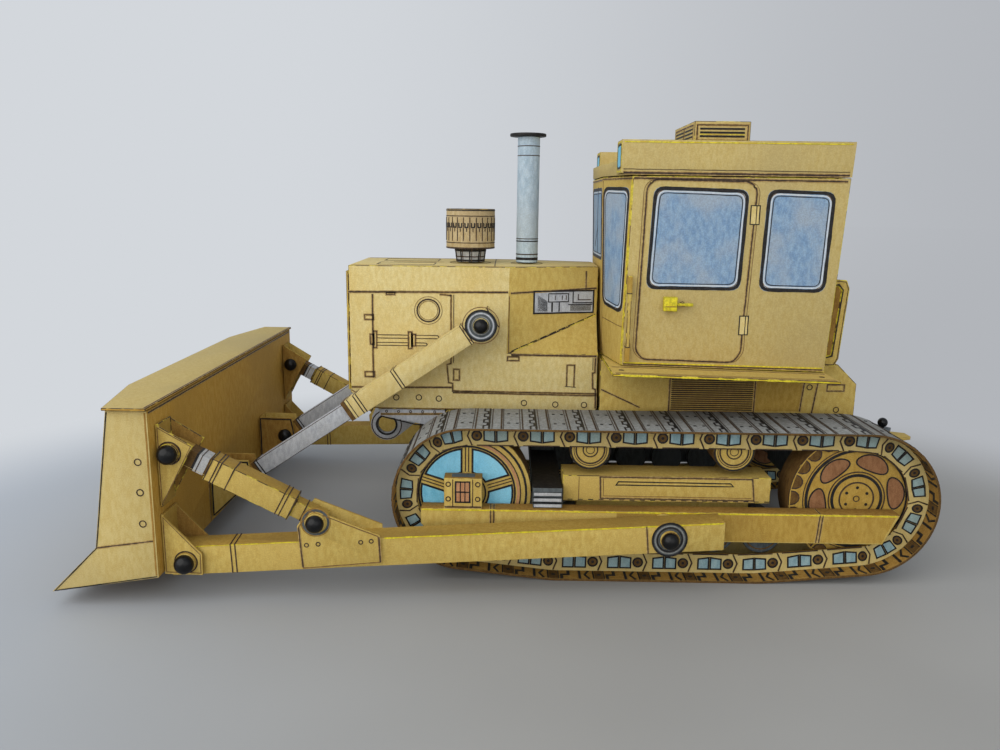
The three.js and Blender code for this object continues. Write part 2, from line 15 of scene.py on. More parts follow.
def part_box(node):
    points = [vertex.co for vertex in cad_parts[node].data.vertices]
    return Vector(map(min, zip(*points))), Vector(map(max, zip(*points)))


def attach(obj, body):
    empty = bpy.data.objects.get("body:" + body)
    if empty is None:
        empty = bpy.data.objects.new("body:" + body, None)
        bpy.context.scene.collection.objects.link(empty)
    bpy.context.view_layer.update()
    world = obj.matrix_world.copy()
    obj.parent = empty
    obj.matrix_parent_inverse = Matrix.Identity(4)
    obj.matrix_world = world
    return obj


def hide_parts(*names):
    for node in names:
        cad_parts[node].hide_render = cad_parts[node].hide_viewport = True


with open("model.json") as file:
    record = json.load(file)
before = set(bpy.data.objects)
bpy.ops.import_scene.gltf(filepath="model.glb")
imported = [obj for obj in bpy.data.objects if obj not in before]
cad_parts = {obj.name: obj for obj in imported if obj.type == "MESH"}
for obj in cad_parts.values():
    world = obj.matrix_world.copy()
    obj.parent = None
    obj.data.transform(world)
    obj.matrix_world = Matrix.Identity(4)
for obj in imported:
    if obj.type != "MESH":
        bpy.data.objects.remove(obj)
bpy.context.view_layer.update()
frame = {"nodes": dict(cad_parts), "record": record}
MM = 0.001
print("pieces in the frame:", len(frame["nodes"]))

# %% [markdown]
# ## Where the viewer stands
# A small model is looked at from close by, so its near track looms larger than its far one. The camera could
# stand far off with a long lens, but then both tracks would be equally big. So it stands 0.3 m from the
# model's centre line, on its left, and looks slightly down.

# %% Camera
scene = bpy.context.scene
EYE = Vector((9.0, 300.7, 116.7)) * MM
LOOK_TURN, LOOK_DOWN, LOOK_ROLL = 0.0082, 0.2016, 0.0129
SENSOR = 36                             # mm, the sensor's width
FOCAL_SHARE = 0.8328                    # focal length as a share of that width


def camera_axes(turn, down, roll):
    """Right, up and forward of a camera that starts by looking along -Y."""
    spin = Matrix.Rotation(turn, 3, "Z")
    forward, right, up = spin @ Vector((0, -1, 0)), spin @ Vector((-1, 0, 0)), Vector((0, 0, 1))
    forward, up = (forward * math.cos(down) - up * math.sin(down),
                   up * math.cos(down) + forward * math.sin(down))
    right, up = (right * math.cos(roll) + up * math.sin(roll),
                 up * math.cos(roll) - right * math.sin(roll))
    return right, up, forward


right, up, forward = camera_axes(LOOK_TURN, LOOK_DOWN, LOOK_ROLL)
lens = bpy.data.cameras.new("camera")
lens.sensor_width = SENSOR
lens.lens = SENSOR * FOCAL_SHARE
lens.clip_start = 0.005
camera = bpy.data.objects.new("camera", lens)
scene.collection.objects.link(camera)
camera.matrix_world = Matrix.Translation(EYE) @ Matrix((right, up, -forward)).transposed().to_4x4()
scene.camera = camera
scene.view_settings.view_transform = "Standard"
print("lens, mm:", round(lens.lens, 1))

# %% [markdown]
# ## Light from a window
# Daylight from one side shows folded card best: the faces that look to the window are pale, the ones that
# look away are brown. A wide soft lamp at the blade's side does that. A weak one opens the shadows, and the
# world's even grey does the rest. The level is the one at which a colour renders about as it is written.


# %% Lights
def soft_lamp(name, place, size, watts, colour):
    data = bpy.data.lights.new(name, "AREA")
    data.shape = "DISK"
    data.size = size
    data.energy = watts
    data.color = colour
    lamp = bpy.data.objects.new(name, data)
    scene.collection.objects.link(lamp)
    lamp.location = place
    aim = Vector((0, 0, 0.05)) - Vector(place)
    lamp.rotation_euler = aim.to_track_quat("-Z", "Y").to_euler()


soft_lamp("window_light", (0.58, 0.72, 0.55), 1.35, 8.0, (1.0, 0.985, 0.95))
soft_lamp("fill_light", (-0.35, 0.95, 0.35), 1.0, 1.8, (1.0, 0.99, 0.97))


# %% [markdown]
# ## Small helpers for node trees
# Every finish below is a tree of nodes. Four helpers keep the trees short: one makes a node with its settings,
# the others a noise pattern that can be stretched and turned, a soft threshold, and a mix of two colours.
# Colours are written as they read on a screen, from 0 to 255, and turned into light values here.

# %% Node helpers
def paint(red, green, blue):
    """A screen colour as the linear light that Blender works with."""
    return tuple((c / 255 / 12.92) if c < 10 else ((c / 255 + 0.055) / 1.055) ** 2.4
                 for c in (red, green, blue))


def node_of(tree, kind, inputs=(), **settings):
    """A node with its settings made; inputs are values or other nodes' outputs."""
    made = tree.nodes.new(kind)
    for name, value in settings.items():
        setattr(made, name, value)
    for socket, value in dict(inputs).items():
        if isinstance(value, bpy.types.NodeSocket):
            tree.links.new(value, made.inputs[socket])
        else:
            made.inputs[socket].default_value = value
    return made


def pattern(tree, coords, scale, detail, stretch=(1, 1, 1), turn=(0, 0, 0)):
    placed = node_of(tree, "ShaderNodeMapping", {"Vector": coords, "Scale": stretch, "Rotation": turn})
    return node_of(tree, "ShaderNodeTexNoise",
                   {"Vector": placed.outputs[0], "Scale": scale, "Detail": detail}).outputs["Fac"]


def threshold(tree, value, low, high, least=0.0, most=1.0):
    return node_of(tree, "ShaderNodeMapRange", {"Value": value, "From Min": low, "From Max": high,
                                                "To Min": least, "To Max": most},
                   interpolation_type="SMOOTHSTEP").outputs["Result"]


def mixed(tree, share, below, above, way="MIX"):
    below, above = [(*c, 1) if isinstance(c, tuple) else c for c in (below, above)]
    return node_of(tree, "ShaderNodeMix", {"Factor": share, 6: below, 7: above},
                   data_type="RGBA", blend_type=way).outputs[2]


def new_finish(name, roughness=0.8, gloss=0.25):
    """A material with its tree, its shader and the pieces' own coordinates."""
    material = bpy.data.materials.new(name)
    material.use_nodes = True
    shader = material.node_tree.nodes["Principled BSDF"]
    shader.inputs["Roughness"].default_value = roughness
    shader.inputs["Specular IOR Level"].default_value = gloss
    coords = node_of(material.node_tree, "ShaderNodeTexCoord").outputs["Object"]
    return material, material.node_tree, shader, coords


# %% World
WALL, WALL_DIM = paint(211, 215, 220), paint(178, 181, 186)


def wall_colour(tree, direction):
    """The wall is a little brighter on the window's side."""
    sideways = node_of(tree, "ShaderNodeSeparateXYZ", {0: direction}).outputs["X"]
    return mixed(tree, threshold(tree, sideways, -0.62, 0.30), WALL_DIM, WALL)


def build_world(tree):
    """Even grey light; what the camera, gloss and glass see of it is the pale wall."""
    tree.nodes.clear()
    light = node_of(tree, "ShaderNodeBackground", {"Color": (0.86, 0.92, 1.0, 1), "Strength": 0.66})
    direction = node_of(tree, "ShaderNodeTexCoord").outputs["Generated"]
    seen = node_of(tree, "ShaderNodeBackground", {"Color": wall_colour(tree, direction), "Strength": 1.0})
    shown = seen_directly(tree)
    pick = node_of(tree, "ShaderNodeMixShader", {0: shown, 1: light.outputs[0], 2: seen.outputs[0]})
    node_of(tree, "ShaderNodeOutputWorld", {0: pick.outputs[0]})


def seen_directly(tree):
    """1 for rays from the camera, a glossy face or through glass."""
    path = node_of(tree, "ShaderNodeLightPath").outputs
    some = node_of(tree, "ShaderNodeMath", {0: path["Is Camera Ray"], 1: path["Is Glossy Ray"]},
                   operation="MAXIMUM")
    return node_of(tree, "ShaderNodeMath", {0: some.outputs[0], 1: path["Is Transmission Ray"]},
                   operation="MAXIMUM").outputs[0]


world = bpy.data.worlds.new("room")
scene.world = world
world.use_nodes = True
build_world(world.node_tree)

# %% [markdown]
# ## The table
# The model stands on a pale table in front of a pale wall. A wall would stand in the way of every view from
# behind, so there is only a floor: close to the model it is table-coloured and takes shadows, further out it
# turns softly into the wall's colour.

# %% Floor
FLOOR_RADIUS = 6                                            # metres
FADE_CENTRE_Y, FADE_FROM, FADE_TO = 0.09, 0.215, 0.33       # metres
floor_mesh = bpy.data.meshes.new("floor")
floor_shape = bmesh.new()
bmesh.ops.create_circle(floor_shape, cap_ends=True, segments=96, radius=FLOOR_RADIUS)
floor_shape.to_mesh(floor_mesh)
floor_shape.free()
floor = bpy.data.objects.new("floor", floor_mesh)
scene.collection.objects.link(floor)


def table_paper():
    """Table colour with painted light, lighter and bluer towards the blade on the window's side, that fades into
    the wall's colour further out.
    """
    material, tree, shader, coords = new_finish("table", 0.62, 0.25)
    centred = node_of(tree, "ShaderNodeMapping", {"Vector": coords, "Location": (0, -FADE_CENTRE_Y, 0)})
    away = node_of(tree, "ShaderNodeVectorMath", {0: centred.outputs[0]}, operation="LENGTH").outputs["Value"]
    fade = threshold(tree, away, FADE_FROM, FADE_TO)
    cloudy = threshold(tree, pattern(tree, coords, 9, 2), 0.35, 0.7)
    surface = mixed(tree, cloudy, paint(158, 156, 152), paint(164, 162, 158))
    # Painted light: the table turns lighter and bluer on the window's side.
    lengthways = node_of(tree, "ShaderNodeSeparateXYZ", {0: coords}).outputs["X"]
    surface = mixed(tree, threshold(tree, lengthways, -0.02, 0.26), surface, paint(182, 188, 196))
    tree.links.new(surface, shader.inputs["Base Color"])
    direction = node_of(tree, "ShaderNodeVectorMath", {0: coords}, operation="NORMALIZE").outputs[0]
    wall = node_of(tree, "ShaderNodeEmission", {"Color": wall_colour(tree, direction), "Strength": 1.0})
    share = node_of(tree, "ShaderNodeMath", {0: fade, 1: seen_directly(tree)}, operation="MULTIPLY")
    both = node_of(tree, "ShaderNodeMixShader",
                   {0: share.outputs[0], 1: shader.outputs[0], 2: wall.outputs[0]})
    tree.links.new(both.outputs[0], tree.nodes["Material Output"].inputs[0])
    return material


floor_mesh.materials.append(table_paper())
print("floor radius, m:", FLOOR_RADIUS)

# %% [markdown]
# ## Pencil on card
# Card that has been coloured by hand is never one colour. Three things show: the paper's fine tooth where the
# pencil skips, long strokes in one direction, and slow patches where a second pencil went over. Painted image
# textures could show this, but they would need unwrapping. Noise on Object coordinates needs none, and pieces
# that touch share one grain, so one function makes every pencil finish from three colours.


# %% Pencil finish
def pencil(name, light, deep, patch, tooth=0.30, stroke_turn=0.5, relief=0.30, roughness=0.8,
           patch_size=34, patch_edge=(0.42, 0.70)):
    """Card coloured with pencil: the light and deep tone of the strokes, and the slow patches' tone."""
    material, tree, shader, coords = new_finish(name, roughness)
    light, deep, patch = paint(*light), paint(*deep), paint(*patch)
    strokes = threshold(tree, pattern(tree, coords, 900, 3, (1, 1, 0.4), (0, stroke_turn, 0)), 0.32, 0.68)
    slow = pattern(tree, coords, patch_size, 4, (1, 1, 0.8), (0, stroke_turn, 0))
    patches = threshold(tree, slow, *patch_edge, 0, 0.8)
    grain = pattern(tree, coords, 3000, 3)
    colour = mixed(tree, strokes, light, deep)
    colour = mixed(tree, patches, colour, patch)
    colour = mixed(tree, threshold(tree, grain, 0.44, 0.64, 0, tooth), colour, (0.55, 0.46, 0.36), "MULTIPLY")
    colour = mixed(tree, threshold(tree, grain, 0.34, 0.47, tooth, 0), colour, tuple(c * 1.35 for c in light))
    tree.links.new(colour, shader.inputs["Base Color"])
    height = node_of(tree, "ShaderNodeBump", {"Height": grain, "Strength": relief, "Distance": 0.00005})
    tree.links.new(height.outputs[0], shader.inputs["Normal"])
    return material


PALE = pencil("pale_yellow_pencil", (214, 196, 138), (206, 183, 118), (205, 177, 104), 0.18)
# On the cab's walls this darker yellow is painted shade: they are the same print as the hood's pale yellow,
# darker further from the window.
WARM = pencil("warm_yellow_pencil", (194, 173, 113), (186, 162, 98), (180, 160, 106), 0.16)
GOLD = pencil("gold_pencil", (194, 168, 92), (182, 153, 76), (184, 156, 82), 0.18)
DEEP = pencil("deep_gold_pencil", (178, 146, 68), (164, 130, 54), (150, 120, 56), 0.2)
OCHRE = pencil("ochre_pencil", (160, 124, 58), (142, 106, 44), (126, 94, 42), 0.22)
SHADE = pencil("brown_shading", (108, 80, 38), (86, 60, 26), (76, 56, 28), 0.25)
BLADE_BACK = pencil("orange_brown_pencil", (190, 150, 66), (178, 134, 50), (166, 128, 54), 0.2)
DRUM = pencil("drum_pencil", (192, 172, 132), (174, 150, 106), (170, 148, 108), 0.2)
SHOE_GREY = pencil("grey_pencil", (150, 151, 148), (128, 128, 124), (112, 110, 104), 0.22, 1.35)
SILVER = pencil("silver_pencil", (184, 186, 189), (160, 162, 167), (172, 170, 164), 0.2)
PIPE_BLUE = pencil("blue_grey_pencil", (188, 204, 214), (164, 183, 197), (180, 190, 196), 0.2)
SLATE = pencil("slate_pencil", (84, 90, 92), (64, 69, 71), (96, 101, 102), 0.2)
GLASS_BLUE = pencil("window_blue_pencil", (140, 166, 190), (114, 144, 176), (158, 168, 178), 0.25, 0.75,
                    patch_size=85, patch_edge=(0.40, 0.66))
SKY_BLUE = pencil("bright_blue_pencil", (128, 196, 222), (110, 182, 212), (142, 198, 216), 0.15)
LINK_BLUE = pencil("grey_blue_pencil", (150, 176, 180), (126, 156, 164), (138, 150, 140), 0.2)
RUST = pencil("rust_pencil", (186, 136, 98), (166, 114, 76), (172, 130, 92), 0.2)
PAD_BROWN = pencil("pad_brown_pencil", (146, 104, 70), (126, 86, 54), (132, 92, 60), 0.2)
WHITE = pencil("pale_line", (206, 212, 216), (190, 198, 206), (200, 204, 206), 0.12)
print("pencil finishes:", 18)

# %% [markdown]
# ## Ink, marker and glass
# The lines are printed and gone over with a fine pen, so the ink is brown-black and a little uneven. The cut
# edges were touched with a yellow marker over a dark print, which leaves a broken bright and dark line. The
# pins' black glass heads are the only glossy thing on the model.


# %% Ink, edge and pin finishes
def ink(name, dark, thin):
    material, tree, shader, coords = new_finish(name, 0.6, 0.3)
    uneven = threshold(tree, pattern(tree, coords, 900, 3), 0.42, 0.72)
    tree.links.new(mixed(tree, uneven, paint(*dark), paint(*thin)), shader.inputs["Base Color"])
    return material


def marked_edge(name, bright, dark, dark_share):
    """A cut edge: marker with dark dashes showing through."""
    material, tree, shader, coords = new_finish(name, 0.62, 0.3)
    dashes = pattern(tree, coords, 330, 4)
    middle = 0.5 + (0.5 - dark_share) * 0.26
    share = threshold(tree, dashes, middle - 0.05, middle + 0.05)
    fresh = mixed(tree, threshold(tree, pattern(tree, coords, 1200, 2), 0.4, 0.6),
                  paint(*bright), paint(*[c * 0.84 for c in bright]))
    tree.links.new(mixed(tree, share, fresh, paint(*dark)), shader.inputs["Base Color"])
    return material


def glass_head(name):
    material, tree, shader, coords = new_finish(name, 0.35, 0.2)
    swirl = threshold(tree, pattern(tree, coords, 500, 2), 0.4, 0.7)
    tree.links.new(mixed(tree, swirl, paint(7, 7, 8), paint(15, 15, 16)), shader.inputs["Base Color"])
    shader.inputs["Coat Weight"].default_value = 0.16
    shader.inputs["Coat Roughness"].default_value = 0.12
    return material


INK = ink("brown_black_ink", (52, 38, 28), (84, 64, 44))
BLACK = ink("black_ink", (22, 20, 20), (44, 40, 38))
HALO = ink("soft_brown_shading", (154, 124, 70), (190, 162, 104))
HAIRLINE = ink("thin_brown_ink", (112, 84, 46), (138, 108, 62))
EDGE = marked_edge("marked_edge", (206, 184, 62), (58, 42, 26), 0.60)
EDGE_BRIGHT = marked_edge("bright_marked_edge", (214, 198, 50), (92, 68, 34), 0.34)
EDGE_DARK = marked_edge("dark_marked_edge", (176, 146, 66), (50, 36, 24), 0.82)
MARKER = marked_edge("yellow_marker", (222, 204, 40), (196, 168, 40), 0.30)
PIN_BLACK = glass_head("black_glass")
print("edge and ink finishes:", 9)

# %% [markdown]
# ## Soft folds
# A fold in card is never a knife edge. The solids could be modelled again with round edges, but they are exact
# already. So each one is copied, its triangles are merged back into whole faces, and a narrow bevel turns
# every fold and cut into a small rounded strip. The strip takes the edge finish, and each whole face is
# coloured by a rule that looks at where it lies and which way it faces.

# %% Folding and colouring
FOLD = 0.2 * MM                         # how far a fold's rounding reaches


def clean_copy(node):
    """The frame's mesh with its triangles merged into whole faces."""
    mesh = bpy.data.meshes.new(node + "_card")
    work = bmesh.new()
    work.from_mesh(frame["nodes"][node].data)
    bmesh.ops.remove_doubles(work, verts=work.verts, dist=2e-6)
    bmesh.ops.dissolve_limit(work, angle_limit=math.radians(1.0), verts=work.verts, edges=work.edges)
    work.to_mesh(mesh)
    work.free()
    mesh.materials.clear()
    return mesh


def settle(piece):
    """Runs the piece's modifiers for good and smooths what is nearly flat."""
    bpy.context.view_layer.update()
    final = bpy.data.meshes.new_from_object(piece.evaluated_get(bpy.context.evaluated_depsgraph_get()))
    piece.modifiers.clear()
    piece.data = final
    final.polygons.foreach_set("use_smooth", [True] * len(final.polygons))
    final.set_sharp_from_angle(angle=math.radians(35))


def body_of(node):
    bodies = frame["record"]["behaviour"]["bodies"]
    return next(body for body, members in bodies.items() if node in members)


def folded(node, rule, edge):
    """A card copy of a node; rule(place in mm, outward direction) names each face's finish."""
    mesh = clean_copy(node)
    finishes = []
    for face in mesh.polygons:
        finish = rule(face.center / MM, face.normal)
        if finish not in finishes:
            finishes.append(finish)
        face.material_index = finishes.index(finish)
    for finish in finishes + [edge]:
        mesh.materials.append(finish)
    piece = bpy.data.objects.new(node + "_card", mesh)
    scene.collection.objects.link(piece)
    bevel = piece.modifiers.new("fold", "BEVEL")
    bevel.width = FOLD
    bevel.segments = 2
    bevel.limit_method = "ANGLE"
    bevel.angle_limit = math.radians(25)
    bevel.material = len(finishes)
    settle(piece)
    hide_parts(node)
    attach(piece, body_of(node))


# %% [markdown]
# ## Which pencil went where
# One look at a real model tells most of the rules: the sides are yellow, the shoes are grey, the pipe is
# blue-grey and the towing ball is black. The tops of the arms and rails are deeper, partly in pencil and partly
# as painted shade, since the side light reaches them less. What faces down takes brown painted shade, as do the
# hollows behind the brackets' cheeks, and the sprocket's deeper gold and the cab walls' darker yellow are
# painted shade too. A rule is a small function, so a piece with several colours needs no cutting up.

# %% Colour rules
BELT_IN, BELT_OUT = (corner.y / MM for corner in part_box("track_loop_left"))
LINK_OUT, LINK_IN = 48.3, 34.7          # the link plates' two outer faces
BELT_CARD = 0.7


def loop_line():
    """The belt's outline from the side, as (x, z) in mm, over the top towards the rear and back below."""
    corners = [v.co / MM for v in frame["nodes"]["track_loop_left"].data.vertices]
    flat = sorted({(round(c.x, 3), round(c.z, 3)) for c in corners if abs(c.y - BELT_OUT) < 0.01})
    return [Vector(flat[i]) for i in geometry.convex_hull_2d(flat)]


LOOP = loop_line()


def depth_in_loop(x, z):
    """How far a place lies inside the belt's outline."""
    spot = Vector((x, z))
    return min(abs((spot - a).cross((b - a).normalized())) for a, b in zip(LOOP, LOOP[1:] + LOOP[:1]))


def all_in(finish):
    return lambda place, facing: finish


# Most rules give what faces down brown painted shade, and the arms', struts' and rails' tops a deeper colour
# that is partly painted shade.
def by_top(side, top, under):
    """Sides, what faces up and what faces down."""
    return lambda place, facing: top if facing.z > 0.8 else under if facing.z < -0.6 else side


def sideways(facing):
    return abs(facing.y) > 0.8


def by_side(side, rest):
    return lambda place, facing: side if sideways(facing) else rest


def track_rule(place, facing):
    if sideways(facing):
        return WARM if LINK_IN - 0.5 < abs(place.y) < LINK_OUT + 0.5 else SHADE
    depth = depth_in_loop(place.x, place.z)
    return SHOE_GREY if depth < 0.3 else OCHRE


# Painted shade: what faces down is ochre.
def blade_rule(place, facing):
    if sideways(facing):
        return WARM
    return BLADE_BACK if facing.x < -0.5 else OCHRE if facing.z < -0.5 else DEEP


def bracket_rule(place, facing):
    """The outer cheek keeps the gold; what lies behind it, in the bracket's hollow, is painted shade in deeper
    colours.
    """
    outermost = 31.5 if abs(place.y) < 40 else 71.5
    if abs(facing.y) > 0.5 and abs(place.y) > outermost:
        return GOLD
    return DEEP if facing.z > 0.7 or facing.x < -0.5 else OCHRE


def handrail_rule(place, facing):
    """The card inside the loop is brown."""
    return OCHRE if sideways(facing) and 30.2 < abs(place.y) < 31.0 else GOLD


# Painted shade: what faces down is brown.
def hull_rule(place, facing):
    return SHADE if facing.z < -0.5 else GOLD


# Painted shade: what faces down is brown, and the walls' darker yellow stands for the shade of the cab lying
# further from the window.
def cab_rule(place, facing):
    return GOLD if facing.x > 0.5 else SHADE if facing.z < -0.5 else WARM


def hood_rule(place, facing):
    """The slanted faces are deeper than the straight ones, partly as painted shade for faces turned from the
    window; what faces down is painted shade.
    """
    if 0.1 < abs(facing.x) < 0.9 or 0.3 < facing.z < 0.9:
        return GOLD
    return SHADE if facing.z < -0.6 else PALE


def air_rule(place, facing):
    return SILVER if place.z < 101.3 else DRUM


def exhaust_rule(place, facing):
    return BLACK if place.z > 139.9 else PIPE_BLUE


# Painted shade: what faces down is darker slate.
def hook_rule(place, facing):
    return SLATE if facing.z < -0.5 else SILVER


def hitch_rule(place, facing):
    return PIN_BLACK if place.x < -128.6 and place.z > 36 else SLATE if place.z > 36 else GOLD


# Painted shade: the sprocket's faces take the deeper gold because it sits in the belt's shadow, and most rules
# shade what faces down brown.
RULES = {
    "track_loop": (track_rule, BLACK), "idler": (by_side(GOLD, SHADE), EDGE_DARK),
    "sprocket": (by_side(DEEP, SHADE), EDGE_DARK), "carrier_roller": (by_side(GOLD, SHADE), EDGE_DARK),
    "lower_rollers": (all_in(SLATE), BLACK),
    "track_rail": (by_top(GOLD, OCHRE, SHADE), EDGE), "frame_box": (by_top(GOLD, GOLD, SHADE), EDGE),
    "equaliser_bar": (by_top(SLATE, BLACK, BLACK), BLACK), "rear_axle": (all_in(SLATE), BLACK),
    "hull": (hull_rule, EDGE), "hood": (hood_rule, EDGE), "radiator_grille": (all_in(GOLD), EDGE),
    "cab_shell": (cab_rule, EDGE_BRIGHT), "cab_roof": (by_top(WARM, WARM, SHADE), EDGE_BRIGHT),
    "roof_vent": (by_top(WARM, WARM, SHADE), EDGE), "fender_plate": (by_top(MARKER, GOLD, SHADE), EDGE),
    "door_handle": (all_in(MARKER), EDGE_BRIGHT), "grab_bar": (all_in(GOLD), EDGE),
    "rear_handrail": (handrail_rule, EDGE_BRIGHT), "air_cleaner": (air_rule, EDGE_DARK),
    "exhaust_stack": (exhaust_rule, BLACK), "front_tow_hook": (hook_rule, INK),
    "rear_hitch": (hitch_rule, INK), "blade": (blade_rule, EDGE_DARK),
    "blade_top_plate": (by_top(BLADE_BACK, WARM, BLADE_BACK), EDGE_DARK),
    "arm_bracket": (bracket_rule, EDGE), "strut_bracket": (bracket_rule, EDGE),
    "lift_bracket": (bracket_rule, EDGE_DARK), "push_arm": (by_top(GOLD, DEEP, SHADE), EDGE),
    "strut": (by_top(GOLD, DEEP, SHADE), EDGE), "lift_barrel": (by_top(PALE, PALE, SHADE), EDGE),
    "lift_rod": (all_in(SILVER), INK),
}

# %% Every card piece
for node in sorted(frame["nodes"]):
    family = max((name for name in RULES if node.startswith(name)), key=len)
    folded(node, *RULES[family])
print("card pieces:", len(frame["nodes"]))

# %% [markdown]
# ## Drawing on the card
# The drawn lines could be a painted texture, but then each would be as sharp as the texture allows, and the
# solids have no unwrapping. Here every line is real: a thin closed ribbon that stands about a tenth of a
# millimetre proud of its face. A Sheet knows how to turn a flat drawing's (across, up) into a place on one
# face of the model, so each face is drawn flat, as the card was before it was folded. What is drawn on the
# left is drawn on the right too, and a pen line gets a soft brown shading under it.

# %% A sheet to draw on
PEN = 0.36                 # mm, the usual pen line
SINK = 0.05                # how far a mark reaches into the card
HALO_WIDER = 0.5           # how much wider a line's soft shading is than the line
HALO_FROM = 0.3            # lines thinner than this have none
FINISHES = {
    "ink": (INK, "ink_line"), "black": (BLACK, "ink_line"), "hairline": (HAIRLINE, "ink_line"),
    "halo": (HALO, "brown_card"), "marker": (MARKER, "yellow_card"), "white": (WHITE, "silver_card"),
    "blue": (GLASS_BLUE, "blue_card"), "sky": (SKY_BLUE, "blue_card"), "rust": (RUST, "brown_card"),
    "shade": (SHADE, "brown_card"), "ochre": (OCHRE, "brown_card"), "deep": (DEEP, "yellow_card"),
    "silver": (SILVER, "silver_card"), "slate": (SLATE, "dark_card"), "pale": (PALE, "yellow_card"),
    "shoe": (SHOE_GREY, "grey_card"), "link_blue": (LINK_BLUE, "blue_card"), "pad": (PAD_BROWN, "brown_card"),
}
LAYER = {                  # how high a finish lies over the card: lines above their halo and above patches
    "halo": 0.075, "ink": 0.11, "black": 0.13, "hairline": 0.09, "marker": 0.10, "white": 0.07,
    "blue": 0.05, "sky": 0.05, "link_blue": 0.05,
}
PATCH_LIFT, LINE_LIFT = 0.04, 0.06      # for the finishes that LAYER leaves out
# The large patches include the painted shade on the hull and the rails, and the corner windows' glass.
TINT = 0.03                             # for a large patch under other marks
drawn = {}                 # (body, finish) -> corners and faces, in mm


def other_side(name):
    return name.replace("left", "*").replace("right", "left").replace("*", "right")


def mirrored(corners):
    return [Vector((c.x, -c.y, c.z)) for c in corners]


def keep(body, finish, corners, faces):
    all_corners, all_faces = drawn.setdefault((body, finish), ([], []))
    start = len(all_corners)
    all_corners.extend(corners)
    all_faces.extend([start + i for i in face] for face in faces)


def wander(points, closed):
    """Adds corners to a line every few mm and moves them a hair's breadth, as a hand does."""
    ends = zip(points, points[1:] + points[:1]) if closed else zip(points, points[1:])
    out = []
    for a, b in ends:
        a, b = Vector(a), Vector(b)
        steps = max(1, round((b - a).length / 2.6))
        out.extend(a.lerp(b, i / steps) for i in range(steps))
    if not closed:
        out.append(Vector(points[-1]))
    return [p + Vector((noise.noise(Vector((p.x * 0.4, p.y * 0.4, 3.1))),
                        noise.noise(Vector((p.x * 0.4, p.y * 0.4, 8.7))))) * 0.07 for p in out]


class Sheet:
    """One face of a body; place(across, up, lift) gives the spot in mm."""

    def __init__(self, body, place, both=True):
        self.body, self.place, self.both = body, place, both

    def put(self, finish, flat, faces):
        corners = [self.place(*p) for p in flat]
        keep(self.body, finish, corners, faces)
        if self.both:
            keep(other_side(self.body), finish, mirrored(corners), faces)

    def fill(self, outline, finish, lift=None):
        """A patch of one finish."""
        n = len(outline)
        lift = lift or LAYER.get(finish, PATCH_LIFT)
        flat = [(u, v, lift) for u, v in outline] + [(u, v, -SINK) for u, v in outline]
        sides = [[i, (i + 1) % n, n + (i + 1) % n, n + i] for i in range(n)]
        self.put(finish, flat, [list(range(n)), list(range(2 * n - 1, n - 1, -1))] + sides)

    def line(self, points, width=PEN, finish="ink", closed=False, steady=False):
        """A ribbon through flat places; a steady one doesn't wander."""
        path = [Vector(p) for p in points] if steady else wander([tuple(p) for p in points], closed)
        if finish == "ink" and not steady and width >= HALO_FROM:
            self.line(path, width + HALO_WIDER, "halo", closed, steady=True)
        lift, n, flat = LAYER.get(finish, LINE_LIFT), len(path), []
        for i, p in enumerate(path):
            before = path[i - 1] if i or closed else p
            after = path[(i + 1) % n] if i < n - 1 or closed else p
            one = (p - before).normalized() if p != before else (after - p).normalized()
            two = (after - p).normalized() if after != p else one
            across = Vector((-(one + two).y, (one + two).x))
            if across.length < 0.2:
                across = Vector((-one.y, one.x)) * 2
            reach = min(1.8, 2 / max(0.4, across.length)) * width / 2
            if not steady:
                reach *= 1 + 0.35 * noise.noise(Vector((p.x * 0.5, p.y * 0.5, 5.3)))
            across = across.normalized() * reach
            for way, height in ((1, lift), (-1, lift), (-1, -SINK), (1, -SINK)):
                flat.append((*(p + across * way), height))
        faces = []
        for i in range(n if closed else n - 1):
            a, b = 4 * i, 4 * ((i + 1) % n)
            faces += [[a + k, a + (k + 1) % 4, b + (k + 1) % 4, b + k] for k in range(4)]
        if not closed:
            faces += [[0, 3, 2, 1], [4 * n - 4, 4 * n - 3, 4 * n - 2, 4 * n - 1]]
        self.put(finish, flat, faces)

    def strokes(self, width, *paths, finish="ink"):
        for path in paths:
            self.line(path, width, finish)

    def rect(self, u0, v0, u1, v1, width=PEN, finish="ink"):
        self.line([(u0, v0), (u1, v0), (u1, v1), (u0, v1)], width, finish, closed=True)

    def ring(self, u, v, radius, width=PEN, finish="ink", corners=24):
        self.line(round_outline(u, v, radius, corners), width, finish, closed=True, steady=True)

    def dot(self, u, v, radius, finish="ink", corners=16):
        self.fill(round_outline(u, v, radius, corners), finish)

    def bolts(self, radius, *places):
        for u, v in places:
            self.ring(u, v, radius, 0.32, "ink", 14)

    def rings(self, u, v, corners, *rows):
        """Rings round one centre: radius, width and finish of each."""
        for radius, width, finish in rows:
            self.ring(u, v, radius, width, finish, corners)

    def pane(self, outline, radius, frame_width=1.05, glass=True):
        """A window: blue glass, a broad black frame, two thin lines within it and one round it."""
        if glass:
            self.fill(softened(outline, radius), "blue")
        self.line(softened(inset(outline, 1.4), radius * 0.8), 0.4, "white", closed=True)
        self.line(softened(inset(outline, 1.95), radius * 0.7), 0.26, "black", closed=True)
        self.line(softened(inset(outline, 0.55), radius * 0.9), frame_width, "black", closed=True)
        self.line(softened(inset(outline, -0.9), radius * 1.1), 0.2, "hairline", closed=True)


def turns(count):
    """Evenly spaced angles round a circle."""
    return [2 * math.pi * i / count for i in range(count)]


def round_outline(u, v, radius, corners):
    return [(u + radius * math.cos(a), v + radius * math.sin(a)) for a in turns(corners)]


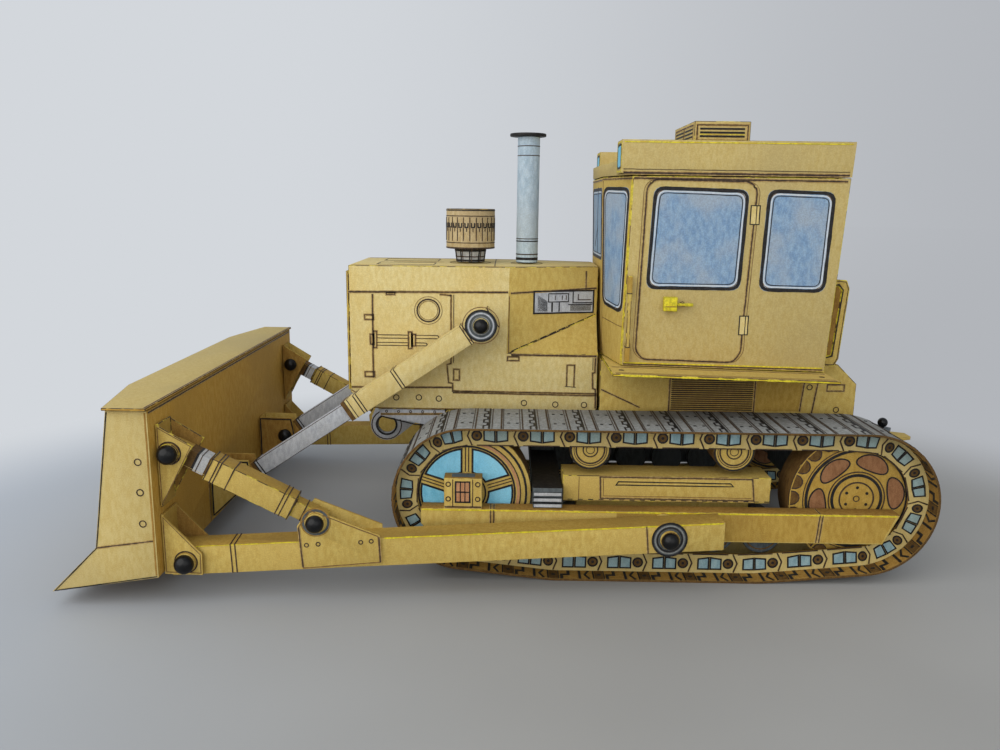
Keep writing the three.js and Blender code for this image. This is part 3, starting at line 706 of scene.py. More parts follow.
def inset(outline, by):
    """Moves each corner of a convex outline towards the middle by about the same amount on both axes."""
    mid_u = sum(p[0] for p in outline) / len(outline)
    mid_v = sum(p[1] for p in outline) / len(outline)
    return [(u - math.copysign(by, u - mid_u), v - math.copysign(by, v - mid_v)) for u, v in outline]


def softened(outline, radius, steps=4):
    """Rounds the corners of an outline."""
    out = []
    for i, corner in enumerate(outline):
        here = Vector(corner)
        start = here + (Vector(outline[i - 1]) - here).normalized() * radius
        end = here + (Vector(outline[(i + 1) % len(outline)]) - here).normalized() * radius
        for k in range(steps + 1):
            t = k / steps
            out.append(tuple(start * (1 - t) ** 2 + here * 2 * t * (1 - t) + end * t * t))
    return out


def side(y, body="machine", way=1):
    return Sheet(body, lambda u, v, lift: Vector((u, y + way * lift, v)))


def facing_front(x, body="machine"):
    return Sheet(body, lambda u, v, lift: Vector((x + lift, u, v)))


def facing_rear(x, body="machine"):
    return Sheet(body, lambda u, v, lift: Vector((x - lift, u, v)))


def facing_up(z, body="machine"):
    return Sheet(body, lambda u, v, lift: Vector((u, v, z + lift)))


def outward(mesh):
    """Turns all faces outward."""
    work = bmesh.new()
    work.from_mesh(mesh)
    bmesh.ops.recalc_face_normals(work, faces=work.faces)
    work.to_mesh(mesh)
    work.free()
    return mesh


def closed_mesh(name, corners, faces):
    mesh = bpy.data.meshes.new(name)
    mesh.from_pydata([c * MM for c in corners], [], faces)
    return outward(mesh)


def add_piece(mesh, body, finish):
    material, slot = FINISHES[finish]
    mesh.materials.clear()
    mesh.materials.append(material)
    piece = bpy.data.objects.new(mesh.name, mesh)
    scene.collection.objects.link(piece)
    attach(piece, body)


print("finishes to draw with:", len(FINISHES))

# %% [markdown]
# ## The engine hood
# On the real machine the hood's sides are doors: a hinged panel with a round port and two pipes, a fold line
# with bolts below it, and a strip along the top. On the model they are drawn. Each line below is a few places
# on the flat side, in mm from the frame's origin.

# %% Hood sides
HOOD_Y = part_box("hood")[1].y / MM
hood = side(HOOD_Y)
hood.strokes(0.5, [(7.6, 66.6), (-21.6, 66.5)])
hood.strokes(0.45, [(62.8, 87.4), (8.9, 87.9)])
hood.strokes(0.4, [(62.4, 54.6), (27.8, 54.9)],
             [(-21.2, 65.9), (-21.2, 60.9), (-20.4, 60.6), (-20.6, 55.3), (-21.6, 54.8), (-21.7, 48.2)])
hood.strokes(PEN, [(54.6, 86.8), (54.8, 58.0)])
hood.strokes(0.3, [(28.1, 86.9), (28.1, 63.3), (29.5, 62.9), (28.9, 56.6), (27.5, 56.3), (27.5, 53.3)],
             [(27.5, 53.7), (-22.0, 53.4)], [(27.5, 53.1), (-22.0, 52.7)], [(32.0, 86.9), (28.1, 86.6)],
             [(-11.6, 55.8), (-11.6, 63.3), (-14.2, 63.3), (-14.1, 55.5)])
hood.strokes(0.26, [(32.6, 72.9), (32.2, 72.3), (32.6, 71.8)], [(36.6, 70.3), (36.2, 69.8), (36.6, 69.3)])
hood.strokes(0.24, [(27.2, 86.9), (27.2, 63.5)], [(-11.0, 55.9), (-14.8, 55.6)],
             [(-20.4, 65.9), (-20.4, 61.6)])
hood.strokes(0.34, [(8.5, 86.6), (8.5, 67.2)], finish="hairline")
hood.strokes(0.3, [(62.4, 53.6), (54.0, 48.2)], [(62.2, 47.4), (-21.8, 47.3)], finish="hairline")
for u0, v0, u1, v1 in ((57.4, 78.1, 54.5, 79.7), (57.6, 58.3, 54.4, 60.0), (49.9, 86.6, 47.1, 87.4),
                       (54.5, 68.4, 53.4, 74.1), (55.6, 69.6, 54.5, 73.0), (42.6, 68.3, 41.4, 74.0),
                       (41.4, 69.2, 40.2, 73.2), (27.2, 57.5, 25.2, 61.3), (8.8, 64.6, 4.9, 65.9)):
    hood.rect(u0, v0, u1, v1, 0.3)
for v, pipe_end in ((72.9, 32.6), (71.8, 32.6), (70.3, 36.6), (69.3, 36.6)):
    hood.strokes(0.26, [(53.4, v), (42.6, v)], [(40.2, v), (pipe_end, v)])
hood.rings(35.8, 81.4, 24, (3.8, 0.5, "ink"), (4.7, 0.2, "hairline"), (3.2, 0.2, "hairline"))
hood.bolts(0.95, (47.0, 51.1), (39.2, 51.2), (32.3, 50.9), (2.9, 49.8), (-7.9, 49.4), (-17.8, 49.4))
print("hood side at Y", round(HOOD_Y, 1))

# %% [markdown]
# ## The slanted engine bay
# Behind the hood's waist the sides slant in towards the cab, so that the driver sees past them. An opening there
# shows part of the engine. It could be cut open, but the real one is a grey print with ink drawn over it, so a
# grey patch and a handful of lines say the same.

# %% Slanted sides
WAIST_X, REAR_X, REAR_Y = 8.5, -22.0, 12.5
slant = (HOOD_Y - REAR_Y) / (WAIST_X - REAR_X)
slant_length = math.hypot(1, slant)


def on_slant(u, v, lift):
    return Vector((u - slant * lift / slant_length, REAR_Y + (u - REAR_X) * slant + lift / slant_length, v))


bay = Sheet("machine", on_slant)
bay.fill([(0.1, 80.6), (-20.6, 80.6), (-20.6, 88.1), (0.1, 88.1)], "silver")
bay.fill([(-1.2, 81.2), (-4.6, 81.2), (-4.6, 84.6), (-1.2, 86.8)], "slate")
bay.fill([(-12.5, 81.2), (-19.8, 81.2), (-19.8, 83.2), (-12.5, 83.2)], "shoe")
bay.rect(0.1, 80.6, -20.6, 88.1, 0.5, "black")
bay.rect(-4.9, 87.2, -11.8, 84.4, 0.34, "black")
bay.strokes(0.5, [(-6.2, 84.2), (-6.2, 81.0)], finish="black")
bay.strokes(0.34, [(-8.6, 84.2), (-8.6, 81.0)], [(-11.8, 83.4), (-20.2, 83.4)],
            [(-13.4, 87.8), (-13.4, 84.0), (-20.2, 84.0)], finish="black")
bay.strokes(0.26, *([(u, 86.6), (u, 85.0)] for u in (-7.2, -9.6, -11.0)))
bay.strokes(0.28, [(-15.2, 87.0), (-15.2, 85.0), (-19.6, 85.0)])
bay.strokes(0.3, [(-17.8, 94.8), (-17.8, 88.4)])
bay.strokes(0.4, [(8.0, 87.6), (-21.6, 88.9)])
LEDGE_LOW, LEDGE_HIGH, DASH_RISE = 67.4, 80.2, 0.42
for i in range(9):                       # the broken line along the fold above the ledge
    u = 7.6 - i * 3.25
    rise = LEDGE_LOW + (WAIST_X - u) * (LEDGE_HIGH - LEDGE_LOW) / (WAIST_X - REAR_X)
    for start, end, steady in ((0, 2.3, False), (2.7, 2.9, True)):
        dash = [(u - run, rise + run * DASH_RISE) for run in (start, end)]
        bay.line(dash, 0.26, "black", steady=steady)

# %% Hood top
top = facing_up(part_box("hood")[1].z / MM)
top.strokes(0.3, [(61.6, 19.2), (9.0, 19.2), (-21.0, 11.2)], finish="hairline")
top.strokes(0.24, [(50, 0.01), (32, 0.01)], finish="hairline")
top.strokes(0.26, [(13.6, 19), (13.6, 0)])
top.rect(54, 4.5, 34.5, 14.5, 0.26)
top.ring(22.6, 0, 7.2, 0.3, "hairline", 28)
top.ring(2.4, 0, 5.6, 0.3, "hairline", 28)

# %% [markdown]
# ## The radiator at the front
# Nine slats stand on the grille's plate, and the frame round them is drawn, with bolts down its sides. The
# slats are already solid, so ink below each one is enough to set it off.

# %% Radiator
grille = facing_front(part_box("radiator_grille")[0].x / MM + 0.7)
grille.rect(0.2, 55.6, 17.2, 92.4, 0.4)
grille.rect(0.2, 54.6, 18.8, 93.4, 0.24, "hairline")
SLATS, SLAT_PITCH = 9, 3.6
for v in (57.5 + i * SLAT_PITCH for i in range(SLATS)):
    grille.line([(0, v), (15, v)], 0.34, "black", steady=True)
grille.bolts(0.7, (18.0, 57), (18.0, 74), (18.0, 91))

# %% [markdown]
# ## The hull
# Above the tracks the hull carries a cooling grille: fifteen louvres, one above the other. They are all alike,
# so they are one drawn bar, repeated along an upright path by a node tree. The same tree will later wrap the
# prints round the tracks. It lays copies of a print out in a row, one pitch apart, then bends the row: a
# point's X becomes the way along the path, its Y stays the way across, its Z is the height over the path.

# %% The wrapping tree
WRAP_INPUTS = (("Path", "NodeSocketObject"), ("Print", "NodeSocketObject"), ("Finish", "NodeSocketMaterial"),
               ("Count", "NodeSocketInt"), ("Pitch", "NodeSocketFloat"), ("Start", "NodeSocketFloat"),
               ("Across", "NodeSocketVector"))


def begin_tree(name, inputs):
    """A tree with its sockets, what it is given, and the print to copy."""
    tree = bpy.data.node_groups.new(name, "GeometryNodeTree")
    for title, kind in inputs:
        tree.interface.new_socket(title, in_out="INPUT", socket_type=kind)
    tree.interface.new_socket("Geometry", in_out="OUTPUT", socket_type="NodeSocketGeometry")
    given = node_of(tree, "NodeGroupInput").outputs
    return tree, given, shape_of(tree, given["Print"])


def shape_of(tree, thing):
    return node_of(tree, "GeometryNodeObjectInfo", {"Object": thing}).outputs["Geometry"]


def scaled_index(tree, step, start):
    """Each copy's own number: start, start + step, start + 2 steps and so on."""
    index = node_of(tree, "GeometryNodeInputIndex").outputs[0]
    return node_of(tree, "ShaderNodeMath", {0: index, 1: step, 2: start}, operation="MULTIPLY_ADD").outputs[0]


def end_tree(tree, shape, finish):
    real = node_of(tree, "GeometryNodeRealizeInstances", {"Geometry": shape})
    done = node_of(tree, "GeometryNodeSetMaterial", {"Geometry": real.outputs[0], "Material": finish})
    node_of(tree, "NodeGroupOutput", {"Geometry": done.outputs[0]})
    return tree


def build_wrap_tree():
    tree, given, print_one = begin_tree("prints_along_path", WRAP_INPUTS)
    path = shape_of(tree, given["Path"])
    step = scaled_index(tree, given["Pitch"], given["Start"])
    spots = node_of(tree, "ShaderNodeCombineXYZ", {"X": step}).outputs[0]
    row = node_of(tree, "GeometryNodePoints", {"Count": given["Count"], "Position": spots})
    copies = node_of(tree, "GeometryNodeInstanceOnPoints", {"Points": row.outputs[0], "Instance": print_one})
    loose = node_of(tree, "GeometryNodeRealizeInstances", {"Geometry": copies.outputs[0]}).outputs[0]
    position = node_of(tree, "GeometryNodeInputPosition").outputs[0]
    spot = node_of(tree, "ShaderNodeSeparateXYZ", {0: position}).outputs
    length = node_of(tree, "GeometryNodeCurveLength", {"Curve": path}).outputs[0]
    reach = node_of(tree, "ShaderNodeMath", {0: spot["X"], 1: length, 2: 0.0}, operation="WRAP").outputs[0]
    sample = node_of(tree, "GeometryNodeSampleCurve", {"Curves": path, "Length": reach}, mode="LENGTH")
    upward = node_of(tree, "ShaderNodeVectorMath", {0: sample.outputs["Tangent"], 1: given["Across"]},
                     operation="CROSS_PRODUCT").outputs[0]
    aside = node_of(tree, "ShaderNodeVectorMath", {0: given["Across"], "Scale": spot["Y"]}, operation="SCALE")
    above = node_of(tree, "ShaderNodeVectorMath", {0: upward, "Scale": spot["Z"]}, operation="SCALE")
    offset = node_of(tree, "ShaderNodeVectorMath", {0: aside.outputs[0], 1: above.outputs[0]})
    place = node_of(tree, "ShaderNodeVectorMath", {0: sample.outputs["Position"], 1: offset.outputs[0]})
    bent = node_of(tree, "GeometryNodeSetPosition", {"Geometry": loose, "Position": place.outputs[0]})
    return end_tree(tree, bent.outputs[0], given["Finish"])


WRAP = build_wrap_tree()
print("tree:", WRAP.name, "inputs:", [name for name, kind in WRAP_INPUTS])


# %% Using a tree
def path_object(name, places, closed):
    """A curve of straight steps through places in mm."""
    curve = bpy.data.curves.new(name, "CURVE")
    curve.dimensions = "3D"
    spline = curve.splines.new("POLY")
    spline.points.add(len(places) - 1)
    for point, place in zip(spline.points, places):
        point.co = (*(Vector(place) * MM), 1)
    spline.use_cyclic_u = closed
    return bpy.data.objects.new(name, curve)


def run_tree(tree, name, settings):
    """Gives a carrier object the tree, sets its inputs, and returns the finished plain mesh."""
    carrier = bpy.data.objects.new(name, bpy.data.meshes.new(name + "_carrier"))
    scene.collection.objects.link(carrier)
    modifier = carrier.modifiers.new("repeat", "NODES")
    modifier.node_group = tree
    for item in tree.interface.items_tree:
        if item.in_out == "INPUT" and item.name in settings:
            modifier[item.identifier] = settings[item.name]
    bpy.context.view_layer.update()
    mesh = bpy.data.meshes.new_from_object(carrier.evaluated_get(bpy.context.evaluated_depsgraph_get()))
    carrier.modifiers.clear()
    bpy.data.objects.remove(carrier)
    mesh.name = name
    return mesh


def repeat(tree, name, body, settings):
    """Takes what was drawn on the body called print and repeats it, one piece for each finish."""
    for key in [k for k in sorted(drawn) if k[0] == "print"]:
        corners, faces = drawn.pop(key)
        finish = key[1]
        element = bpy.data.objects.new("print", closed_mesh("print", corners, faces))
        mesh = run_tree(tree, name + "_" + finish,
                        {"Print": element, "Finish": FINISHES[finish][0], **settings})
        add_piece(outward(mesh), body, finish)
        bpy.data.objects.remove(element)


def along(path, name, body, count, pitch, start, across=(0, 1, 0)):
    """Repeats the print along a path; pitch and start are in mm."""
    repeat(WRAP, name, body, {"Path": path, "Count": count, "Pitch": pitch * MM, "Start": start * MM,
                              "Across": across})


# %% Hull sides
HULL_Y, LOUVRES = 20.9, 15
hull = side(HULL_Y)
# Painted shade: a deeper gold patch on the hull under the fender and the cab.
hull.fill([(-48, 48.2), (-92.6, 48.2), (-93.2, 59.8), (-48, 61.0)], "deep", TINT)
hull.rect(-47.0, 47.6, -76.2, 59.4, 0.34)
louvre = Sheet("print", lambda u, v, lift: Vector((v, HULL_Y + lift, -u)))
louvre.line([(-47.6, 0), (-75.6, 0)], 0.42, "black", steady=True)
upright = path_object("louvre_path", [(0, 0, 48), (0, 0, 60)], False)
along(upright, "hull_louvres", "machine", LOUVRES, 0.74, 0.4)
hull.strokes(0.34, [(-92.9, 58.5), (-92.0, 48.2)], [(-97.5, 58.2), (-96.2, 47.6)])
hull.strokes(0.3, [(-23.5, 55.0), (-37.0, 48.8)], [(-98, 46.0), (-109.6, 46.0)])
hull.strokes(0.26, [(-23.5, 45.5), (-106, 45.5)], finish="hairline")
hull.rect(-100.8, 55.6, -106.6, 57.8, 0.3)
hull.bolts(0.9, (-94.8, 56.8), (-104.5, 49.0))
rear_deck = facing_rear(-110.7)
rear_deck.rect(0.2, 46.0, 16.5, 55.5, 0.34)
rear_deck.line([(20.2, 39.5), (20.2, 57.2)], 0.24, "hairline")
rear_deck.bolts(0.9, (18.4, 54.5), (18.4, 42.0), (9.5, 42.0))
print("louvres:", LOUVRES)

# %% [markdown]
# ## The cab
# Its walls lean a little, and the front corners are cut off at an angle. The windows are prints: a broad
# black rubber frame, a fine white line inside it and blue pencil for the glass. Drawing them is right, because
# the real ones are not cut out either. The same drawing tool works on the leaning faces, since each has its
# own rule for where (across, up) lies.

# %% Cab sides
CAB_FLOOR = 66.6


def nose_x(z):
    return -23.6 + 0.027 * (z - CAB_FLOOR)


def rear_x(z):
    return -93.3 - 0.049 * (z - CAB_FLOOR)


def shoulder_x(z):
    return -27.8 - 0.0235 * (z - CAB_FLOOR)


cab = side(36.5)
cab.strokes(0.5, [(-29.4, 125.3), (-95.2, 125.0)])
door = [(-33.6, 122.8), (-35.6, 125.0), (-65.3, 124.6), (-67.6, 122.4), (-65.9, 76.9), (-66.0, 71.4),
        (-63.6, 67.9), (-34.5, 68.6), (-32.2, 71.4)]
door_gap = [(u + (0.9 if u > -50 else -0.9), v) for u, v in door]
cab.line(softened(door, 1.6, 3), 0.42, closed=True)
cab.line(softened(door_gap, 1.6, 3), 0.2, "hairline", closed=True)
for u0, v0, u1, v1, fold in ((-66.0, 111.7, -68.8, 117.4, -67.8), (-64.9, 77.0, -67.6, 83.0, -66.7)):
    cab.fill([(u0, v0), (u1, v0), (u1, v1), (u0, v1)], "pale", 0.12)
    cab.rect(u0, v0, u1, v1, 0.34, "black")
    cab.line([(fold, v0), (fold, v1)], 0.3, "black")
cab.pane([(-35.7, 123.0), (-65.3, 122.3), (-64.4, 91.0), (-34.5, 91.1)], 3.2)
cab.pane([(-70.9, 122.5), (-92.0, 121.9), (-91.2, 90.7), (-70.1, 90.9)], 3.2)
cab.line([(-28.4, 67.0), (-92.6, 65.9)], 0.36)
cab.fill([(-28.6, 67.6), (-92.4, 66.6), (-92.4, 66.2), (-28.6, 67.2)], "marker")
cab.ring(-46.4, 86.6, 0.7, 0.24, "ink", 12)


# %% Cut-off corners and the nose
CAB_TOP, NOSE_HALF, CAB_HALF = 126.0, 16.0, 36.5


def on_chamfer(u, v, lift):
    """The corner leans two ways, so it is two flat triangles with a faint fold from foot to top."""
    share, height = (u - NOSE_HALF) / (CAB_HALF - NOSE_HALF), (v - CAB_FLOOR) / (CAB_TOP - CAB_FLOOR)
    low, high = (nose_x(CAB_FLOOR), shoulder_x(CAB_FLOOR)), (nose_x(CAB_TOP), shoulder_x(CAB_TOP))
    if share + height < 1:
        x = low[0] + share * (low[1] - low[0]) + height * (high[0] - low[0])
    else:
        x = high[1] + (1 - share) * (high[0] - high[1]) + (1 - height) * (low[1] - high[1])
    return Vector((x, u, v)) + Vector((CAB_HALF - NOSE_HALF, 5.0, 0)).normalized() * lift


def half_of(outline, keep_low):
    """The part of an outline on one side of the corner's faint fold."""
    def height_over(p):
        way = (p[0] - NOSE_HALF) / (CAB_HALF - NOSE_HALF) + (p[1] - CAB_FLOOR) / (CAB_TOP - CAB_FLOOR) - 1
        return -way if keep_low else way
    out = []
    for a, b in zip(outline, outline[1:] + outline[:1]):
        over_a, over_b = height_over(a), height_over(b)
        if over_a >= 0:
            out.append(a)
        if over_a * over_b < 0:
            share = over_a / (over_a - over_b)
            out.append((a[0] + (b[0] - a[0]) * share, a[1] + (b[1] - a[1]) * share))
    return out


corner = Sheet("machine", on_chamfer)
corner_pane = [(17.2, 123.0), (34.9, 122.6), (34.9, 83.1), (17.2, 84.2)]
corner.pane(corner_pane, 3.0, glass=False)
for keep_low in (True, False):
    corner.fill(half_of(softened(corner_pane, 3.0), keep_low), "blue", TINT)
for path, width, finish in (([(16.4, 125.4), (36.0, 125.2)], 0.3, "ink"),
                            ([(17.0, 79.5), (35.6, 78.8)], 0.24, "hairline"),
                            ([(35.9, 68.0), (35.9, 125.0)], 0.5, "marker"),
                            ([(16.6, 68.0), (16.6, 125.0)], 0.3, "hairline")):
    corner.line(path, width, finish)

nose = Sheet("machine", lambda u, v, lift: Vector((nose_x(v) + lift, u, v)), both=False)
nose.pane([(-14.9, 122.8), (14.9, 122.8), (14.9, 98.6), (-14.9, 98.6)], 2.4)
nose.line([(3.0, 123.0), (1.4, 108.0), (2.1, 100.5)], 0.7, "black")
nose.line([(2.2, 110.0), (-6.5, 102.5)], 0.45, "black")
nose.line([(-15.6, 125.2), (15.6, 125.2)], 0.3)

# %% Back of the cab
back = Sheet("machine", lambda u, v, lift: Vector((rear_x(v) - lift, u, v)), both=False)
back.pane([(-26.5, 121.5), (26.5, 121.5), (26.5, 89.5), (-26.5, 89.5)], 3.2)
back.strokes(0.34, [(-35.6, 124.9), (35.6, 124.9)])
back.strokes(0.3, *([(-29, v), (29, v)] for v in (84.6, 70.4)))
back.strokes(0.3, *([(u, 84.6), (u, 70.4)] for u in (-29, -10, 10, 29)))
back.strokes(0.2, *([(u, 68), (u, 124.6)] for u in (-34.2, 34.2)), finish="hairline")

# %% [markdown]
# ## The roof
# A square lamp box stands at each front corner with a sloping brow between them. The lenses face forward. A
# slatted ventilator sits on top, towards the back.

# %% Roof and lamps
ROOF_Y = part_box("cab_roof")[1].y / MM
band = side(ROOF_Y)
band.line([(-26.0, 126.9), (-95.4, 126.8)], 0.6)
band.line([(-26.0, 128.0), (-95.4, 127.8)], 0.22)
band.line([(-26.0, 136.1), (-95.8, 136.1)], 0.34, "marker")
lamp = facing_front(-25.3)
lens_outline = softened([(27.6, 128.4), (35.4, 128.4), (35.4, 135.4), (27.6, 135.4)], 1.2)
lamp.fill(lens_outline, "sky")
lamp.line(lens_outline, 0.6, "black", closed=True)
lamp.rect(26.6, 127.4, 36.2, 136.2, 0.3, "marker")
roof_top = facing_up(136.8)
roof_top.line([(-34.5, 25.4), (-34.5, 0)], 0.3)
roof_top.line([(-39, 35.6), (-95.4, 35.6), (-95.4, 0)], 0.26)
for u in (-46, -74, -88):
    roof_top.line([(u, 35.6), (u, 0)], 0.2, "hairline")
rear_band = facing_rear(-96.35)
rear_band.line([(0, 127.4), (35.8, 127.4)], 0.3)

SLOT_HEIGHTS = (139.6, 140.8, 142.0)
vent_low, vent_high = (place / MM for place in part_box("roof_vent"))
vent = side(vent_high.y)
vent.rect(-52.3, 138.3, -68.9, 143.2, 0.34)
for v in SLOT_HEIGHTS:
    vent.line([(-53.2, v), (-67.9, v)], 0.62, "black", steady=True)
vent.line([(-53.2, 140.2), (-67.9, 140.2)], 0.2, "marker", steady=True)
vent_top = facing_up(vent_high.z)
vent_top.rect(-52.8, -14.8, -68.4, 14.8, 0.26)
for slots in (facing_front(vent_high.x), facing_rear(vent_low.x)):
    slots.rect(0.3, 138.3, 14.6, 143.2, 0.3)
    for v in SLOT_HEIGHTS:
        slots.line([(1.2, v), (13.6, v)], 0.55, "black", steady=True)

# %% [markdown]
# ## The fenders
# A flat plate under the cab reaches out over the tracks on both sides and keeps the mud off the cab. It slopes
# down a little to the rear, has a drawn rim and is held down at its corners.

# %% Fender plates
FENDER_TILT = 0.021


def on_fender(u, v, lift):
    return Vector((u, v, 66.3 + (u + 23.5) * FENDER_TILT + lift))


fender = Sheet("machine", on_fender)
for v, width, finish in ((49.2, 0.3, "ink"), (47.6, 0.24, "hairline"), (38.6, 0.4, "ink")):
    fender.line([(-24.6, v), (-92.6, v)], width, finish)
fender.bolts(0.7, (-27, 43.5), (-90, 43.5))
deck = facing_up(64.8)
deck.line([(-97, 19.6), (-103, 19.6)], 0.26, "hairline")

# %% [markdown]
# ## The handles
# The door handle is a bright yellow block with a lever. A loop of card at each rear corner is closed with a
# brown card, so that it keeps its shape.

# %% Handles
handle = side(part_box("door_handle_left")[1].y / MM)
handle.line([(-40.6, 86.0), (-44.0, 85.9)], 0.3, "ochre")
for face, way in ((31.2, 1), (30.0, -1)):
    loop = side(face, way=way)
    loop.line([(-95.0, 68.9), (-97.4, 69.5), (-99.0, 91.2), (-97.5, 93.0), (-96.1, 92.5)], PEN, "black",
              closed=True, steady=True)
    loop.line([(-94.1, 66.7), (-98.1, 66.7), (-99.1, 68.8), (-100.6, 91.5), (-99.7, 93.8), (-95.4, 94.1)],
              0.22)

# %% [markdown]
# ## The tracks
# A real track is a chain of links with a steel shoe bolted to each. On the model a single printed strip goes
# round the wheels: shoes on its outside, and a strip of links on its edge. Twenty-seven links are far too many
# to draw, and they have to bend where the strip bends. So one link and one shoe are drawn flat, and the
# wrapping tree lays twenty-seven of each along the belt's own outline. Both tracks have the same outline, so
# one drawing serves left and right.

# %% One link, drawn flat
LINKS = 27
LOOP_LENGTH = sum((b - a).length for a, b in zip(LOOP, LOOP[1:] + LOOP[:1]))
LINK_PITCH = LOOP_LENGTH / LINKS
LINK_START, SHOE_START = 3.0, 7.0


def ordered_loop():
    """The outline as a path over the top to the rear, starting on the top run's front."""
    first = max(range(len(LOOP)), key=lambda i: (round(LOOP[i].y, 2), LOOP[i].x))
    places = [LOOP[(first + i) % len(LOOP)] for i in range(len(LOOP))]
    if places[1].x > places[0].x:
        places = [places[0]] + places[:0:-1]
    return [(p.x, 0, p.y) for p in places]


loop_path = path_object("belt_outline", ordered_loop(), True)
for link in (side(LINK_OUT, "print"), side(LINK_IN, "print", -1)):
    for window in (((2.3, 2.0), (5.7, 2.0), (5.7, 5.9), (2.3, 5.4)),
                   ((6.3, 2.0), (9.7, 2.0), (9.7, 5.4), (6.3, 5.9))):
        link.fill(window, "link_blue")
        link.line(window, 0.5, "black", closed=True, steady=True)
    link.dot(0, 3.9, 1.45, "shade", 14)
    link.ring(0, 3.9, 1.5, 0.55, "black", 14)
    link.dot(0, 3.9, 0.5, "black", 8)
    link.line([(-1.5, 7.1), (-2.9, 4.0), (-1.8, 0.9)], 0.5, "ink", steady=True)
    link.line([(0, 7.0), (11.6, 7.0)], steady=True)
along(loop_path, "links", "machine", LINKS, LINK_PITCH, LINK_START)
print("links a side:", LINKS, "pitch, mm:", round(LINK_PITCH, 2))

# %% One shoe, drawn flat
shoe = Sheet("print", lambda u, v, lift: Vector((u, v, -lift)))
EDGE_IN, EDGE_OUT = BELT_IN + 0.25, BELT_OUT - 0.25
for u, width, finish in ((0, 0.6, "black"), (0.9, 0.25, "ink"), (3.8, 0.5, "ink"), (4.4, 0.22, "ink"),
                         (9.6, 0.22, "ink"), (10.4, 0.4, "ink")):
    shoe.line([(u, EDGE_IN), (u, EDGE_OUT)], width, finish, steady=True)
for u in (5.6, 8.3):
    for v in (35.0, 47.0):
        shoe.fill([(u, v), (u + 0.9, v), (u + 0.9, v + 0.8), (u, v + 0.8)], "black")
STEPS = 7                               # the shoe's edge steps in and out this many times
stepped = [(12.8, EDGE_IN)]
for i in range(STEPS):
    v = EDGE_IN + (i + 0.5) * (EDGE_OUT - EDGE_IN) / STEPS
    u = 12.8 if i % 2 == 0 else 14.0
    stepped += [(u, v - 1.7), (u, v + 1.7)]
shoe.line(stepped, 0.5, "black", steady=True)
along(loop_path, "shoes", "machine", LINKS, LINK_PITCH, SHOE_START)

# %% The belt's inner side
inner = Sheet("print", lambda u, v, lift: Vector((u, v, BELT_CARD + lift)))
for near, far in ((LINK_OUT + 0.3, EDGE_OUT), (EDGE_IN, LINK_IN - 0.3)):
    middle = (near + far) / 2
    inner.fill([(7.4, near), (10.2, near), (10.2, far), (7.4, far)], "shade")
    for path, width in (([(0.4, near), (0.4, far)], 0.8),
                        ([(4.0, near), (4.0, middle), (6.2, middle), (6.2, far)], 0.95),
                        ([(7.2, near), (7.2, far)], 0.3),
                        ([(10.6, near), (10.6, far)], 0.5),
                        ([(12.0, near), (13.4, middle), (12.0, far)], 0.7)):
        inner.line(path, width, "black", steady=True)
    inner.dot(8.8, middle, 0.7, "black", 8)
along(loop_path, "belt_inside", "machine", LINKS, LINK_PITCH, SHOE_START)

# %% [markdown]
# ## The wheels
# The idler at the front has five spokes with blue showing between them. The sprocket at the rear has six
# lens-shaped windows, a hub with bolts and a row of half holes at its rim. All of that is one shape turned
# about an axle, so a second, smaller tree does only that: copies at the axle, each turned by a fair share of a
# full turn.

# %% The turning tree
TURN_INPUTS = (("Print", "NodeSocketObject"), ("Finish", "NodeSocketMaterial"), ("Count", "NodeSocketInt"),
               ("First turn", "NodeSocketFloat"), ("Axle", "NodeSocketVector"))


def build_turn_tree():
    tree, given, print_one = begin_tree("prints_round_axle", TURN_INPUTS)
    share = node_of(tree, "ShaderNodeMath", {0: 2 * math.pi, 1: given["Count"]}, operation="DIVIDE")
    turn = scaled_index(tree, share.outputs[0], given["First turn"])
    spots = node_of(tree, "GeometryNodePoints", {"Count": given["Count"], "Position": given["Axle"]})
    copies = node_of(tree, "GeometryNodeInstanceOnPoints", {
        "Points": spots.outputs[0], "Instance": print_one,
        "Rotation": node_of(tree, "ShaderNodeCombineXYZ", {"Y": turn}).outputs[0]})
    return end_tree(tree, copies.outputs[0], given["Finish"])


TURN = build_turn_tree()


def wheel_centre(node):
    low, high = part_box(node)
    return (low.x + high.x) / 2 / MM, (low.z + high.z) / 2 / MM


def round_axle(name, node, count, first_turn):
    """Repeats the print, drawn upwards from the axle, about a wheel's own axle."""
    u, v = wheel_centre(node)
    repeat(TURN, name, "machine", {"Count": count, "First turn": first_turn, "Axle": (u * MM, 0, v * MM)})


# %% Idler
WHEEL_FACES = tuple((place.y / MM, way) for place, way in zip(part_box("idler_left"), (-1, 1)))
wheel_print = [side(y, "print", way) for y, way in WHEEL_FACES]


def wheel_rings(node, *rows):
    """Rings on both faces of a left wheel."""
    for y, way in WHEEL_FACES:
        side(y, way=way).rings(*wheel_centre(node), 48, *rows)


def sector(inner_radius, outer_radius, half_spoke, count):
    """The window between two spokes, centred upwards."""
    out = []
    half = math.pi / count
    for radius, order in ((outer_radius, 1), (inner_radius, -1)):
        reach = half - math.asin(half_spoke / radius)
        arc = [(radius * math.sin(a), radius * math.cos(a))
               for a in (-reach + 2 * reach * i / 8 for i in range(9))]
        out += arc[::order]
    return out


